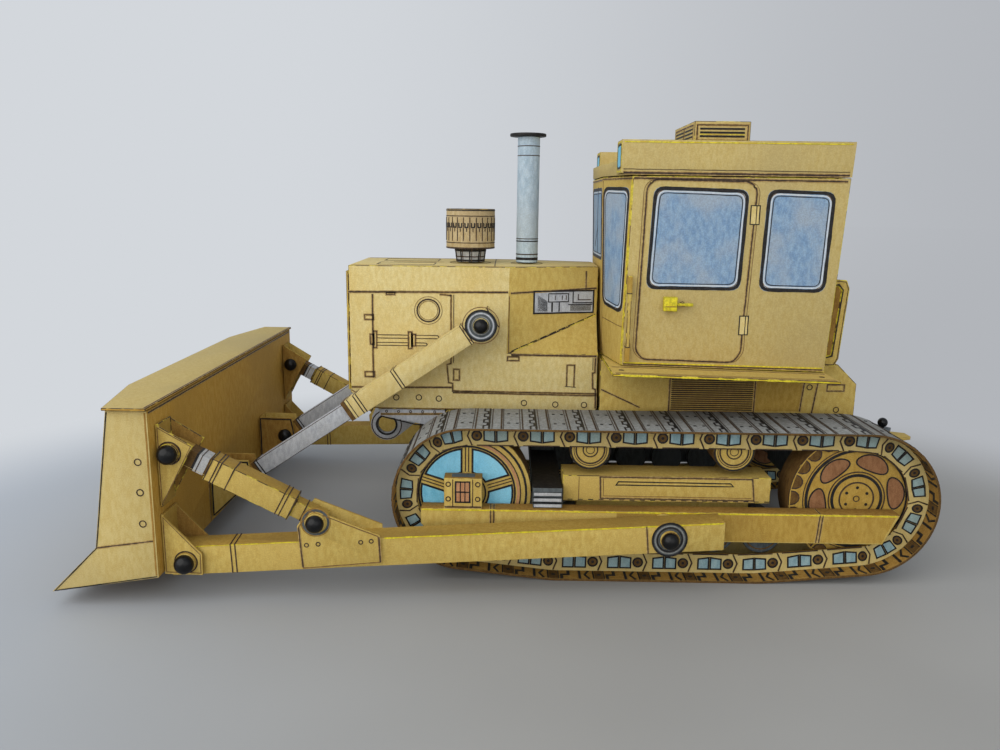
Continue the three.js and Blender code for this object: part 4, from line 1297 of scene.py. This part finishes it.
SPOKES = 5
window = sector(7.0, 14.6, 1.75, SPOKES)
for sheet in wheel_print:
    sheet.fill(window, "sky")
    sheet.line(window, 0.62, "black", closed=True, steady=True)
round_axle("idler_windows", "idler_left", SPOKES, math.pi / SPOKES)
for sheet in wheel_print:
    for u in (-0.5, 0.5):
        sheet.line([(u, 7.0), (u, 15.0)], 0.34, "ink", steady=True)
round_axle("idler_spokes", "idler_left", SPOKES, 0)
wheel_rings("idler_left", (15.4, 0.6, "black"), (16.5, 0.8, "rust"), (17.2, 0.4, "ink"), (19.0, 0.7, "black"),
            (6.0, 0.5, "black"), (4.6, 0.3, "ink"))
print("idler at", [round(place, 1) for place in wheel_centre("idler_left")])

# %% Sprocket
WINDOWS, TEETH = 6, 24
lens_shape = [(5.3 * math.sin(a), 12.5 + 2.7 * math.cos(a) - 0.9 * math.sin(a) ** 2) for a in turns(24)]
half_hole = [(-2.3, 20.9), (-2.0, 19.5), (-1.1, 18.5), (0, 18.2), (1.1, 18.5), (2.0, 19.5), (2.3, 20.9)]
for sheet in wheel_print:
    sheet.fill(lens_shape, "pad")
    sheet.line(lens_shape, 0.45, "black", closed=True, steady=True)
round_axle("sprocket_windows", "sprocket_left", WINDOWS, math.radians(40))
for sheet in wheel_print:
    sheet.fill(half_hole, "shade")
    sheet.line(half_hole, 0.4, "ink", steady=True)
round_axle("sprocket_teeth", "sprocket_left", TEETH, 0)
for sheet in wheel_print:
    sheet.dot(0, 3.7, 0.5, "black", 8)
round_axle("sprocket_bolts", "sprocket_left", WINDOWS, 0)
wheel_rings("sprocket_left", (5.4, 0.5, "ink"), (7.8, 0.9, "black"), (8.9, 0.4, "ink"), (16.0, 0.9, "black"),
            (17.0, 0.3, "ink"), (0.9, 0.3, "ink"))

# %% Rollers
for node in ("carrier_roller_front_left", "carrier_roller_rear_left"):
    roller = side(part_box(node)[1].y / MM)
    roller.rings(*wheel_centre(node), 32, (6.1, 0.5, "black"), (5.2, 0.24, "ink"), (4.5, 0.5, "ink"),
                 (2.3, 0.4, "ink"), (1.3, 0.24, "ink"))
lower_rollers = side(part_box("lower_rollers_left")[1].y / MM)
for u in (-73.7 + 15 * i for i in range(5)):
    lower_rollers.ring(u, 13.9, 5.2, 0.4, "shade", 24)
    lower_rollers.ring(u, 13.9, 2.4, 0.4, "shade", 16)

# %% [markdown]
# ## The track frames
# Each track hangs on a long rail with a box above it. The box's side carries a sunk panel with a slot; the rail
# has double lines where its card was joined; and a small hub box with a grid stands by the idler.

# %% Frame box and rail
frame_side = side(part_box("frame_box_left")[1].y / MM)
frame_side.line([(-21.2, 32.4), (-21.5, 25.3), (-70.4, 25.2), (-69.5, 32.3)], 0.34, closed=True)
frame_side.line([(-22.2, 31.9), (-22.4, 26.1), (-69.5, 26.0)], 0.2, "hairline")
frame_side.line([(-27.0, 30.9), (-62.6, 30.8), (-63.6, 29.8), (-26.3, 29.8)], 0.34, "black", closed=True)
for i in range(20):
    frame_side.line([(-11.0 - i * 3.3, 24.85), (-12.6 - i * 3.3, 24.85)], 0.26, "black")
frame_side.line([(-14.5, 32.4), (-14.5, 25.0)], 0.24, "hairline")

RAIL_Y, RAIL_TOP, RAIL_BOTTOM = 54.0, 23.4, 13.7
rail = side(RAIL_Y)
for u, slant, width in ((12.4, 0, 0.34), (13.4, 0, 0.34), (-89.4, 0.7, 0.3), (-90.3, 0.7, 0.3)):
    rail.line([(u, RAIL_TOP - 0.3), (u + slant, RAIL_BOTTOM + 0.3)], width)
# Painted shade: deeper gold patches along the rail's rear part, where the track's shadow falls.
rail.fill([(-26, 22.7), (-89.0, 22.7), (-88.6, 14.1), (-26, 14.1)], "deep", TINT)
rail.fill([(-90.8, 22.7), (-113.0, 22.7), (-109.2, 14.1), (-90.2, 14.1)], "deep", TINT)
rail.line([(34.9, 23.0), (-113.4, 23.0)], 0.42, "marker")
hub = side(RAIL_Y)
hub.bolts(0.7, (26.7, 31.4), (26.7, 26.6), (17.5, 31.4), (17.5, 26.6))
hub.fill([(20.0, 25.6), (24.4, 25.6), (24.4, 32.2), (20.0, 32.2)], "rust")
hub.rect(20.0, 25.6, 24.4, 32.2, 0.45, "black")
hub.strokes(0.3, *([(u, 25.6), (u, 32.2)] for u in (21.5, 22.9)), finish="black")
hub.strokes(0.4, [(20.0, 28.9), (24.4, 28.9)], finish="black")
hub.strokes(0.24, *([(u, 33.0), (u, 24.0)] for u in (25.3, 19.1)))
hub.strokes(0.4, [(16.4, 24.0), (27.8, 24.0)])
BAR_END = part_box("equaliser_bar")[1].y / MM
LEAVES, LEAF_BOTTOM, LEAF_RISE, LEAF_STEP = 3, 23.8, 1.7, 0.5
for leaf in range(LEAVES):
    leaf_face = side(BAR_END - LEAF_STEP * leaf)
    low = LEAF_BOTTOM + LEAF_RISE * leaf
    leaf_face.fill([(-8.7, low + 0.1), (-0.1, low + 0.1), (-0.1, low + 1.05), (-8.7, low + 1.05)], "silver")
hub_top = facing_up(33.4)
hub_top.fill([(18.5, 49.4), (25.7, 49.4), (25.7, 52.8), (18.5, 52.8)], "slate")
rail_upper = facing_up(RAIL_TOP)
for u in (12.4, 13.4, -89.4):
    rail_upper.line([(u, 49.2), (u, 53.8)], 0.34)
rail_upper.fill([(11.9, 49.0), (-13, 49.0), (-13, 53.7), (11.9, 53.7)], "ochre")

# %% [markdown]
# ## Bands round the bars
# The arms, struts and cylinders are folded from strips with lines printed across them, and the grab bars have
# dark feet. When a strip is folded round, its lines go round too. So a band is not drawn face by face: it is a
# very short bar that stands about a tenth of a millimetre proud of the bar it sits on.

# %% A band round a bar
PROUD = 0.06               # how far a band stands out
OVER = 0.05                # how much further a line does


class Bar:
    """A square bar's axis; bands sit along it at distances in mm from its start."""

    def __init__(self, body, start, end, across, size, depth=None):
        self.body, self.start = body, Vector(start)
        self.along = (Vector(end) - self.start).normalized()
        self.across = (Vector(across) - self.along * Vector(across).dot(self.along)).normalized()
        self.rise = self.along.cross(self.across)
        self.half, self.deep = size / 2, (depth or size) / 2

    def band(self, s0, s1, finish="ink", proud=PROUD, size=None):
        half = (size / 2 if size else self.half) + proud
        deep = (size / 2 if size else self.deep) + proud
        corners = [self.start + self.along * s + self.across * a * half + self.rise * b * deep
                   for s in (s0, s1) for a, b in ((-1, -1), (1, -1), (1, 1), (-1, 1))]
        faces = [[0, 1, 2, 3], [7, 6, 5, 4]] + [[i, (i + 1) % 4, 4 + (i + 1) % 4, 4 + i] for i in range(4)]
        keep(self.body, finish, corners, faces)
        keep(other_side(self.body), finish, mirrored(corners), faces)

    def lines(self, *places, width=PEN, finish="ink", size=None):
        for s in places:
            self.band(s - width / 2, s + width / 2, finish, PROUD + OVER, size)


# %% Push arms
PIVOT, ARM_PIVOT_Y, ARM_BLADE_Y, BLADE_PIN = (-40.6, 18.4), 59.5, 68.0, (102.3, 12.8)
SPLAY = math.atan2(ARM_BLADE_Y - ARM_PIVOT_Y, BLADE_PIN[0] - PIVOT[0])
ARM_DROP = (BLADE_PIN[1] - PIVOT[1]) / (BLADE_PIN[0] - PIVOT[0])


def on_arm(reach):
    """A face of the splayed arm, a distance out from its middle."""
    def place(u, v, lift):
        x, y = u - PIVOT[0], reach + lift
        return Vector((PIVOT[0] + x * math.cos(SPLAY) - y * math.sin(SPLAY),
                       ARM_PIVOT_Y + x * math.sin(SPLAY) + y * math.cos(SPLAY), v))
    return place


pivot_place = Vector((PIVOT[0], ARM_PIVOT_Y, PIVOT[1]))
arm_direction = Vector((math.cos(SPLAY), math.sin(SPLAY), ARM_DROP))
arm_bar = Bar("blade_frame", pivot_place, pivot_place + arm_direction,
              (-math.sin(SPLAY), math.cos(SPLAY), 0), 8, 8.8)
arm_bar.lines(129.4, 130.7)
arm_face = Sheet("blade_frame", on_arm(4.0))
fold_middle = PIVOT[1] + 6.6 * ARM_DROP
arm_face.line([(-33.5, fold_middle + 4.3), (-34.4, fold_middle - 4.3)])
arm_face.line([(104.5, 17.0), (47.0, 19.2)], 0.24, "marker")
arm_face.line([(45.0, 19.3), (-57.0, 23.2)], 0.42, "marker")
cheek = Sheet("blade_frame", on_arm(4.75))
cheek_outline = [(70.0, 23.2), (66.3, 28.3), (46.8, 20.2), (46.3, 12.0), (68.9, 10.4)]
cheek.line(cheek_outline, 0.3, "hairline", closed=True)
for u, v in ((67.8, 17.6), (64.4, 17.9), (51.9, 18.4), (48.8, 18.7)):
    cheek.ring(u, v, 0.6, 0.3, "ink", 10)
cheek.strokes(0.34, [(69.9, 23.2), (69.0, 10.6)], [(46.5, 20.0), (46.2, 12.0)])
pivot_face = Sheet("blade_frame", on_arm(4.6))
pivot_face.dot(*PIVOT, 5.3, "slate", 32)
pivot_face.rings(*PIVOT, 32, (5.2, 0.6, "black"), (4.4, 0.36, "shoe"), (3.8, 0.5, "black"))
pivot_head = Sheet("blade_frame", on_arm(5.6))
pivot_head.dot(*PIVOT, 2.8, "shade", 32)
print("arm splay, degrees:", round(math.degrees(SPLAY), 2))

# %% Struts
STRUT_TOP, STRUT_FOOT = (105.2, 45.9), (64.9, 24.7)
foot_y = ARM_PIVOT_Y + (STRUT_FOOT[0] - PIVOT[0]) * math.tan(SPLAY)
strut_bar = Bar("blade_frame", (STRUT_TOP[0], ARM_BLADE_Y, STRUT_TOP[1]),
                (STRUT_FOOT[0], foot_y, STRUT_FOOT[1]), (0, 1, 0), 7)
NECK = 5.4                 # the strut's thinner upper end
for s0, s1, finish in ((4.2, 6.6, "shade"), (6.6, 7.3, "black"), (7.3, 10.4, "silver"),
                       (10.4, 11.0, "shade")):
    strut_bar.band(s0, s1, finish, size=NECK)
strut_bar.lines(11.3, 13.2, 14.1, 18.0, 34.0, 35.2, 37.7)
strut_bar.lines(8.2, width=0.3, size=NECK)
strut_bar.lines(41.3, size=5)

# %% Feet of the grab bars
low, high = (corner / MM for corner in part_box("grab_bar_left"))
middle_x, middle_y, bar_height = (low.x + high.x) / 2, (low.y + high.y) / 2, high.z - low.z
grab_bar = Bar("machine", (middle_x, middle_y, low.z), (middle_x, middle_y, high.z),
               (0, 1, 0), high.y - low.y, high.x - low.x)
grab_bar.band(0.2, 4.6, "deep")
grab_bar.band(bar_height - 5.2, bar_height - 0.2, "deep")
grab_bar.lines(4.8, bar_height - 5.4, width=0.3)

# %% Lift cylinders
TRUNNION, LIFT_PIN, LIFT_Y = (17.6, 78.1), (98.3, 24.2), 28.5
lift_axis = ((TRUNNION[0], LIFT_Y, TRUNNION[1]), (LIFT_PIN[0], LIFT_Y, LIFT_PIN[1]), (0, 1, 0))
barrel = Bar("left_barrel", *lift_axis, 7)
barrel.lines(-4.6, 5.2, 6.0, 32.3, 33.4, 47.6, 48.7)
barrel.band(52.4, 53.7, "shade")
barrel.lines(52.3, 51.2, width=0.28)
rod = Bar("left_rod", *lift_axis, 5.6)
rod.band(90.0, 91.6, "shade", 0.03)
rod.band(91.6, 99.4, "ochre", 0.03)
rod.lines(89.2, 90.2, width=0.4, finish="black")
barrel_face = side(LIFT_Y + 3.5, "left_barrel")
barrel_face.ring(*TRUNNION, 6.0, 0.3, "hairline", 32)

# %% [markdown]
# ## The blade
# From behind, the blade shows its flat back, shaded brown, and pale end plates with bolts. From the front it
# shows the hollow mouldboard and, below the knee, the cutting edge, which is bolted on. That row of bolts runs
# straight across, so the wrapping tree places them along a straight path.

# %% Blade prints
BLADE_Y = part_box("blade")[1].y / MM
end_plate = side(BLADE_Y, "blade_frame")
end_plate.line([(120.3, 58.9), (126.3, 18.4), (139.6, 5.0), (109.4, 9.9)], 0.3, "black")
end_plate.bolts(0.95, (112.5, 44.4), (112.5, 35.4), (112.4, 26.0))
end_plate.line([(126.3, 18.5), (109.8, 20.8)], 0.34)
end_plate.line([(109.6, 10.2), (109.6, 58.8)], 0.5, "ochre")
blade_back = facing_rear(109, "blade_frame")
blade_back.line([(0.2, 58.6), (76.2, 58.6)], 0.4)
blade_back.line([(33.6, 24.4), (33.6, 10.0)], 0.34)

KNEE, TIP = (126.6, 18.4), (140.4, 4.7)
edge_run = Vector((TIP[0] - KNEE[0], TIP[1] - KNEE[1]))
edge_length = edge_run.length
edge_run.normalize()


def on_cutting_edge(u, v, lift):
    """u across the machine, v down from the knee."""
    return Vector((KNEE[0] + edge_run.x * v - edge_run.y * lift, u,
                   KNEE[1] + edge_run.y * v + edge_run.x * lift))


cutter = Sheet("blade_frame", on_cutting_edge, both=False)
cutter.line([(-76, 8.8), (76, 8.8)], 0.4)
cutter.line([(-76, 0.8), (76, 0.8)], 0.36)
for u in (-48, 0, 48):
    cutter.line([(u, 1.0), (u, edge_length - 0.8)], 0.36)
edge_bolt = Sheet("print", lambda u, v, lift: Vector((u, v, lift)), both=False)
edge_bolt.ring(0, 0, 1.0, 0.36, "ink", 10)
edge_bolt.dot(0, 0, 0.6, "black", 8)
row_place = on_cutting_edge(0, 11.4, 0)
row = path_object("edge_bolt_path", [(row_place.x, y, row_place.z) for y in (-72, 72)], False)
EDGE_BOLTS = 17
along(row, "edge_bolts", "blade_frame", EDGE_BOLTS, 9, 0.05, (edge_run.x, 0, edge_run.y))
BROW, HOLLOW, STRIPS = (120.4, 59.2), 4.2, 8     # the mouldboard's upper edge, its depth and its flat strips


def mould_x(z):
    """How far forward the hollow face lies at a height."""
    place = min(STRIPS, max(0, (BROW[1] - z) / (BROW[1] - KNEE[1]) * STRIPS))
    low = int(min(STRIPS - 1, place))
    upper, lower = (BROW[0] + (KNEE[0] - BROW[0]) * i / STRIPS - HOLLOW * math.sin(math.pi * i / STRIPS) - 0.3
                    for i in (low, low + 1))
    return upper + (lower - upper) * (place - low)


mould = Sheet("blade_frame", lambda u, v, lift: Vector((mould_x(v) + lift, u, v)), both=False)
for v in (55.5, 22.5):
    mould.line([(-75.8, v), (75.8, v)], 0.34)
for u in (-48, 0, 48):
    mould.line([(u, 57.0 - i * 4.2) for i in range(9)], 0.26, "hairline", steady=True)
top_plate = facing_up(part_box("blade_top_plate")[1].z / MM, "blade_frame")
top_plate.line([(109.2, 0), (109.2, 78.0)], 0.36)
print("edge bolts:", EDGE_BOLTS)

# %% Brackets behind the blade
strut_bracket = side(72.9, "blade_frame")
strut_bracket.line([(108.2, 30.4), (108.2, 53.4), (98.9, 48.0)], 0.26, "hairline", closed=True)
arm_bracket = side(73.2, "blade_frame")
arm_bracket.line([(108.2, 9.6), (108.2, 26.5), (98.0, 15.2), (98.1, 9.4)], 0.26, "hairline", closed=True)
for y, way in ((32.6, 1), (24.4, -1)):
    lift_bracket = side(y, "blade_frame", way)
    lift_bracket.line([(108.2, 11.6), (108.2, 30.8), (96.0, 30.6), (94.9, 24.2)], 0.5, "black", closed=True)

# %% [markdown]
# ## The guard with its towing ring
# Under the radiator a grey wedge guards the hull's nose and holds a ring. A row of small rivets runs along its
# upper edge.

# %% Guard
guard = side(20.0)
guard.line([(52.6, 44.9), (31.0, 45.2)], 0.34)
guard.line([(52.8, 44.2), (40.9, 41.4), (31.2, 40.6)], 0.4, "black")
for u in (50.6, 46.4, 42.2, 38.0, 33.8):
    guard.ring(u, 45.9, 0.4, 0.26, "ink", 8)
guard_top = facing_up(46.7)
guard_top.line([(52.8, 0.2), (52.8, 19.4), (31, 19.4)], 0.3)
ring_face = side(1.1)
ring_face.ring(53.4, 36, 3.7, 0.7, "black", 24)
ring_face.ring(53.4, 36, 5.5, 0.4, "ink", 24)

# %% [markdown]
# ## The air cleaner and the exhaust
# The air cleaner's drum is ringed with upright ribs, and a dark slot between each pair lets the air in. They go
# round an upright axis, so the wrapping tree bends one rib's drawing round a circle. The exhaust is plain pipe
# with a few rings; a ring is a very short tube, a little wider than the pipe.

# %% Collars
def collar(x, z0, z1, radius, finish, top_radius=None):
    """A short closed drum round an upright pipe."""
    n = 40
    rims = [[Vector((x + r * math.cos(a), r * math.sin(a), z)) for a in turns(n)]
            for r, z in ((radius, z0), (top_radius or radius, z1))]
    sides = [[i, (i + 1) % n, n + (i + 1) % n, n + i] for i in range(n)]
    caps = [list(range(n))[::-1], list(range(n, 2 * n))]
    keep("machine", finish, rims[0] + rims[1], sides + caps)


PIPE_X, PIPE_R = 2.4, 3.85
for z0, z1, finish in ((97.6, 98.5, "black"), (99.4, 99.8, "ink"), (104.0, 104.4, "black"),
                       (104.9, 105.2, "ink"), (133.4, 133.7, "ink"), (136.6, 136.9, "ink")):
    collar(PIPE_X, z0, z1, PIPE_R + PROUD, finish)
AIR_X, DRUM_R = 22.6, 8.6
for z0, z1, r0, r1, finish in ((96.9, 97.6, 5.05, 5.12, "black"), (98.4, 98.8, 5.25, 5.3, "ink"),
                               (100.4, 101.2, 5.53, 5.64, "black")):
    collar(AIR_X, z0, z1, r0 + PROUD, finish, r1 + PROUD)
FOOT_R, FOOT_TAPER, FOOT_Z = 5, 0.135, 96.6


def round_foot(turn, z, lift):
    """The drum's tapered foot; the first of the two is an angle."""
    radius = FOOT_R + FOOT_TAPER * (z - FOOT_Z) + lift
    return Vector((AIR_X + radius * math.cos(turn), radius * math.sin(turn), z))


air_foot = Sheet("machine", round_foot)
for turn in (0.35, 0.95, 1.57, 2.2, 2.8):
    for width, shift, finish in ((0.09, 0, "black"), (0.05, 0.13, "ink")):
        air_foot.line([(turn + shift, 96.8), (turn + shift, 101.4)], width, finish, steady=True)
for z0, z1, finish in ((101.5, 102.0, "ink"), (103.4, 103.7, "ink"), (112.6, 112.9, "ink"),
                       (114.5, 114.9, "black")):
    collar(AIR_X, z0, z1, DRUM_R + PROUD + 0.02, finish)

# %% Ribs round the drum
rib = Sheet("print", lambda u, v, lift: Vector((u, v, lift)), both=False)
rib.line([(0, 104.2), (0, 112.3)], 0.3, "ink", steady=True)
rib.line([(0.55, 110.4), (0.6, 108.9), (1.6, 108.9), (1.65, 110.4)], 0.42, "black", steady=True)
rib.line([(1.1, 108.6), (1.1, 107.4)], 0.3, "ink", steady=True)
circle = [(AIR_X + DRUM_R * math.cos(a), DRUM_R * math.sin(a), 0) for a in turns(96)]
RIBS = 24
round_path = path_object("drum_path", circle, True)
along(round_path, "drum_ribs", "machine", RIBS, 2 * math.pi * DRUM_R / RIBS, 0.1, (0, 0, 1))
print("ribs:", RIBS)

# %% [markdown]
# ## Glass-headed pins
# Every joint is a dressmaker's pin with a black glass head. It is the one round, shiny thing on the model, so
# it deserves a real ball: a slightly flattened sphere over a small paper ring.

# %% Pins
FLAT = 0.8                 # a head's thickness as a share of its width
SUNK = 0.55                # how far its middle lies over the card, as a share of its half thickness


def ball_pin(name, body, place, radius, facing):
    """A glass head on the pin through a joint, left and right; place is where the pin leaves the card."""
    for way, owner, tag in ((1, body, "left"), (-1, other_side(body), "right")):
        work = bmesh.new()
        bmesh.ops.create_uvsphere(work, u_segments=28, v_segments=14, radius=radius * MM)
        work.transform(Matrix.Rotation(math.pi / 2, 4, "X"))
        work.transform(Matrix.Diagonal((1, FLAT, 1, 1)))
        middle = Vector((place[0], way * (place[1] + facing * radius * FLAT * SUNK), place[2])) * MM
        work.transform(Matrix.Translation(middle))
        bmesh.ops.recalc_face_normals(work, faces=work.faces)
        mesh = bpy.data.meshes.new(name + "_" + tag)
        work.to_mesh(mesh)
        work.free()
        mesh.polygons.foreach_set("use_smooth", [True] * len(mesh.polygons))
        mesh.materials.append(PIN_BLACK)
        piece = bpy.data.objects.new(mesh.name, mesh)
        scene.collection.objects.link(piece)
        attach(piece, owner)


strut_bracket.ring(*STRUT_TOP, 3.3, 0.4, "ink", 28)
arm_bracket.ring(*BLADE_PIN, 3.3, 0.4, "ink", 28)
foot_pin = on_arm(4.75)(*STRUT_FOOT, 0)
cheek.rings(*STRUT_FOOT, 28, (3.7, 0.7, "slate"), (4.3, 0.3, "ochre"))
rim_face = side(LIFT_Y + 4.1, "left_barrel")
rim_face.dot(*TRUNNION, 5.1, "slate", 32)
rim_face.rings(*TRUNNION, 32, (5.0, 0.6, "black"), (4.1, 0.5, "silver"), (2.9, 0.34, "shoe"))
PINS = (                   # name, body, x, y and z of the place, radius, which way the head looks
    ("pin_strut_top", "blade_frame", STRUT_TOP[0], 73.4, STRUT_TOP[1], 2.9, 1),
    ("pin_arm_front", "blade_frame", BLADE_PIN[0], 73.7, BLADE_PIN[1], 2.9, 1),
    ("pin_strut_foot", "blade_frame", foot_pin.x, foot_pin.y + 0.4, foot_pin.z, 2.7, 1),
    ("pin_arm_pivot", "blade_frame", PIVOT[0] - 0.27, ARM_PIVOT_Y + 5.0, PIVOT[1], 2.6, 1),
    ("pin_trunnion", "left_barrel", TRUNNION[0], LIFT_Y + 4.4, TRUNNION[1], 2.4, 1),
    ("pin_lift_front", "blade_frame", LIFT_PIN[0], 33.0, LIFT_PIN[1], 2.9, 1),
    ("pin_strut_top_inner", "blade_frame", STRUT_TOP[0], 63.0, STRUT_TOP[1], 2.7, -1),
    ("pin_lift_front_inner", "blade_frame", LIFT_PIN[0], 24.3, LIFT_PIN[1], 2.7, -1),
)
for name, body, x, y, z, radius, facing in PINS:
    ball_pin(name, body, (x, y, z), radius, facing)
print("pins:", 2 * len(PINS))

# %% [markdown]
# ## Collecting the drawing
# Hundreds of loose marks would be hard to pick and slow to export. All marks that move together and share a
# finish become one plain mesh.

# %% Collect the prints
for (body, finish), (corners, faces) in sorted(drawn.items()):
    add_piece(closed_mesh("printed_" + finish + "_" + body, corners, faces), body, finish)
print("printed pieces:", len(drawn))
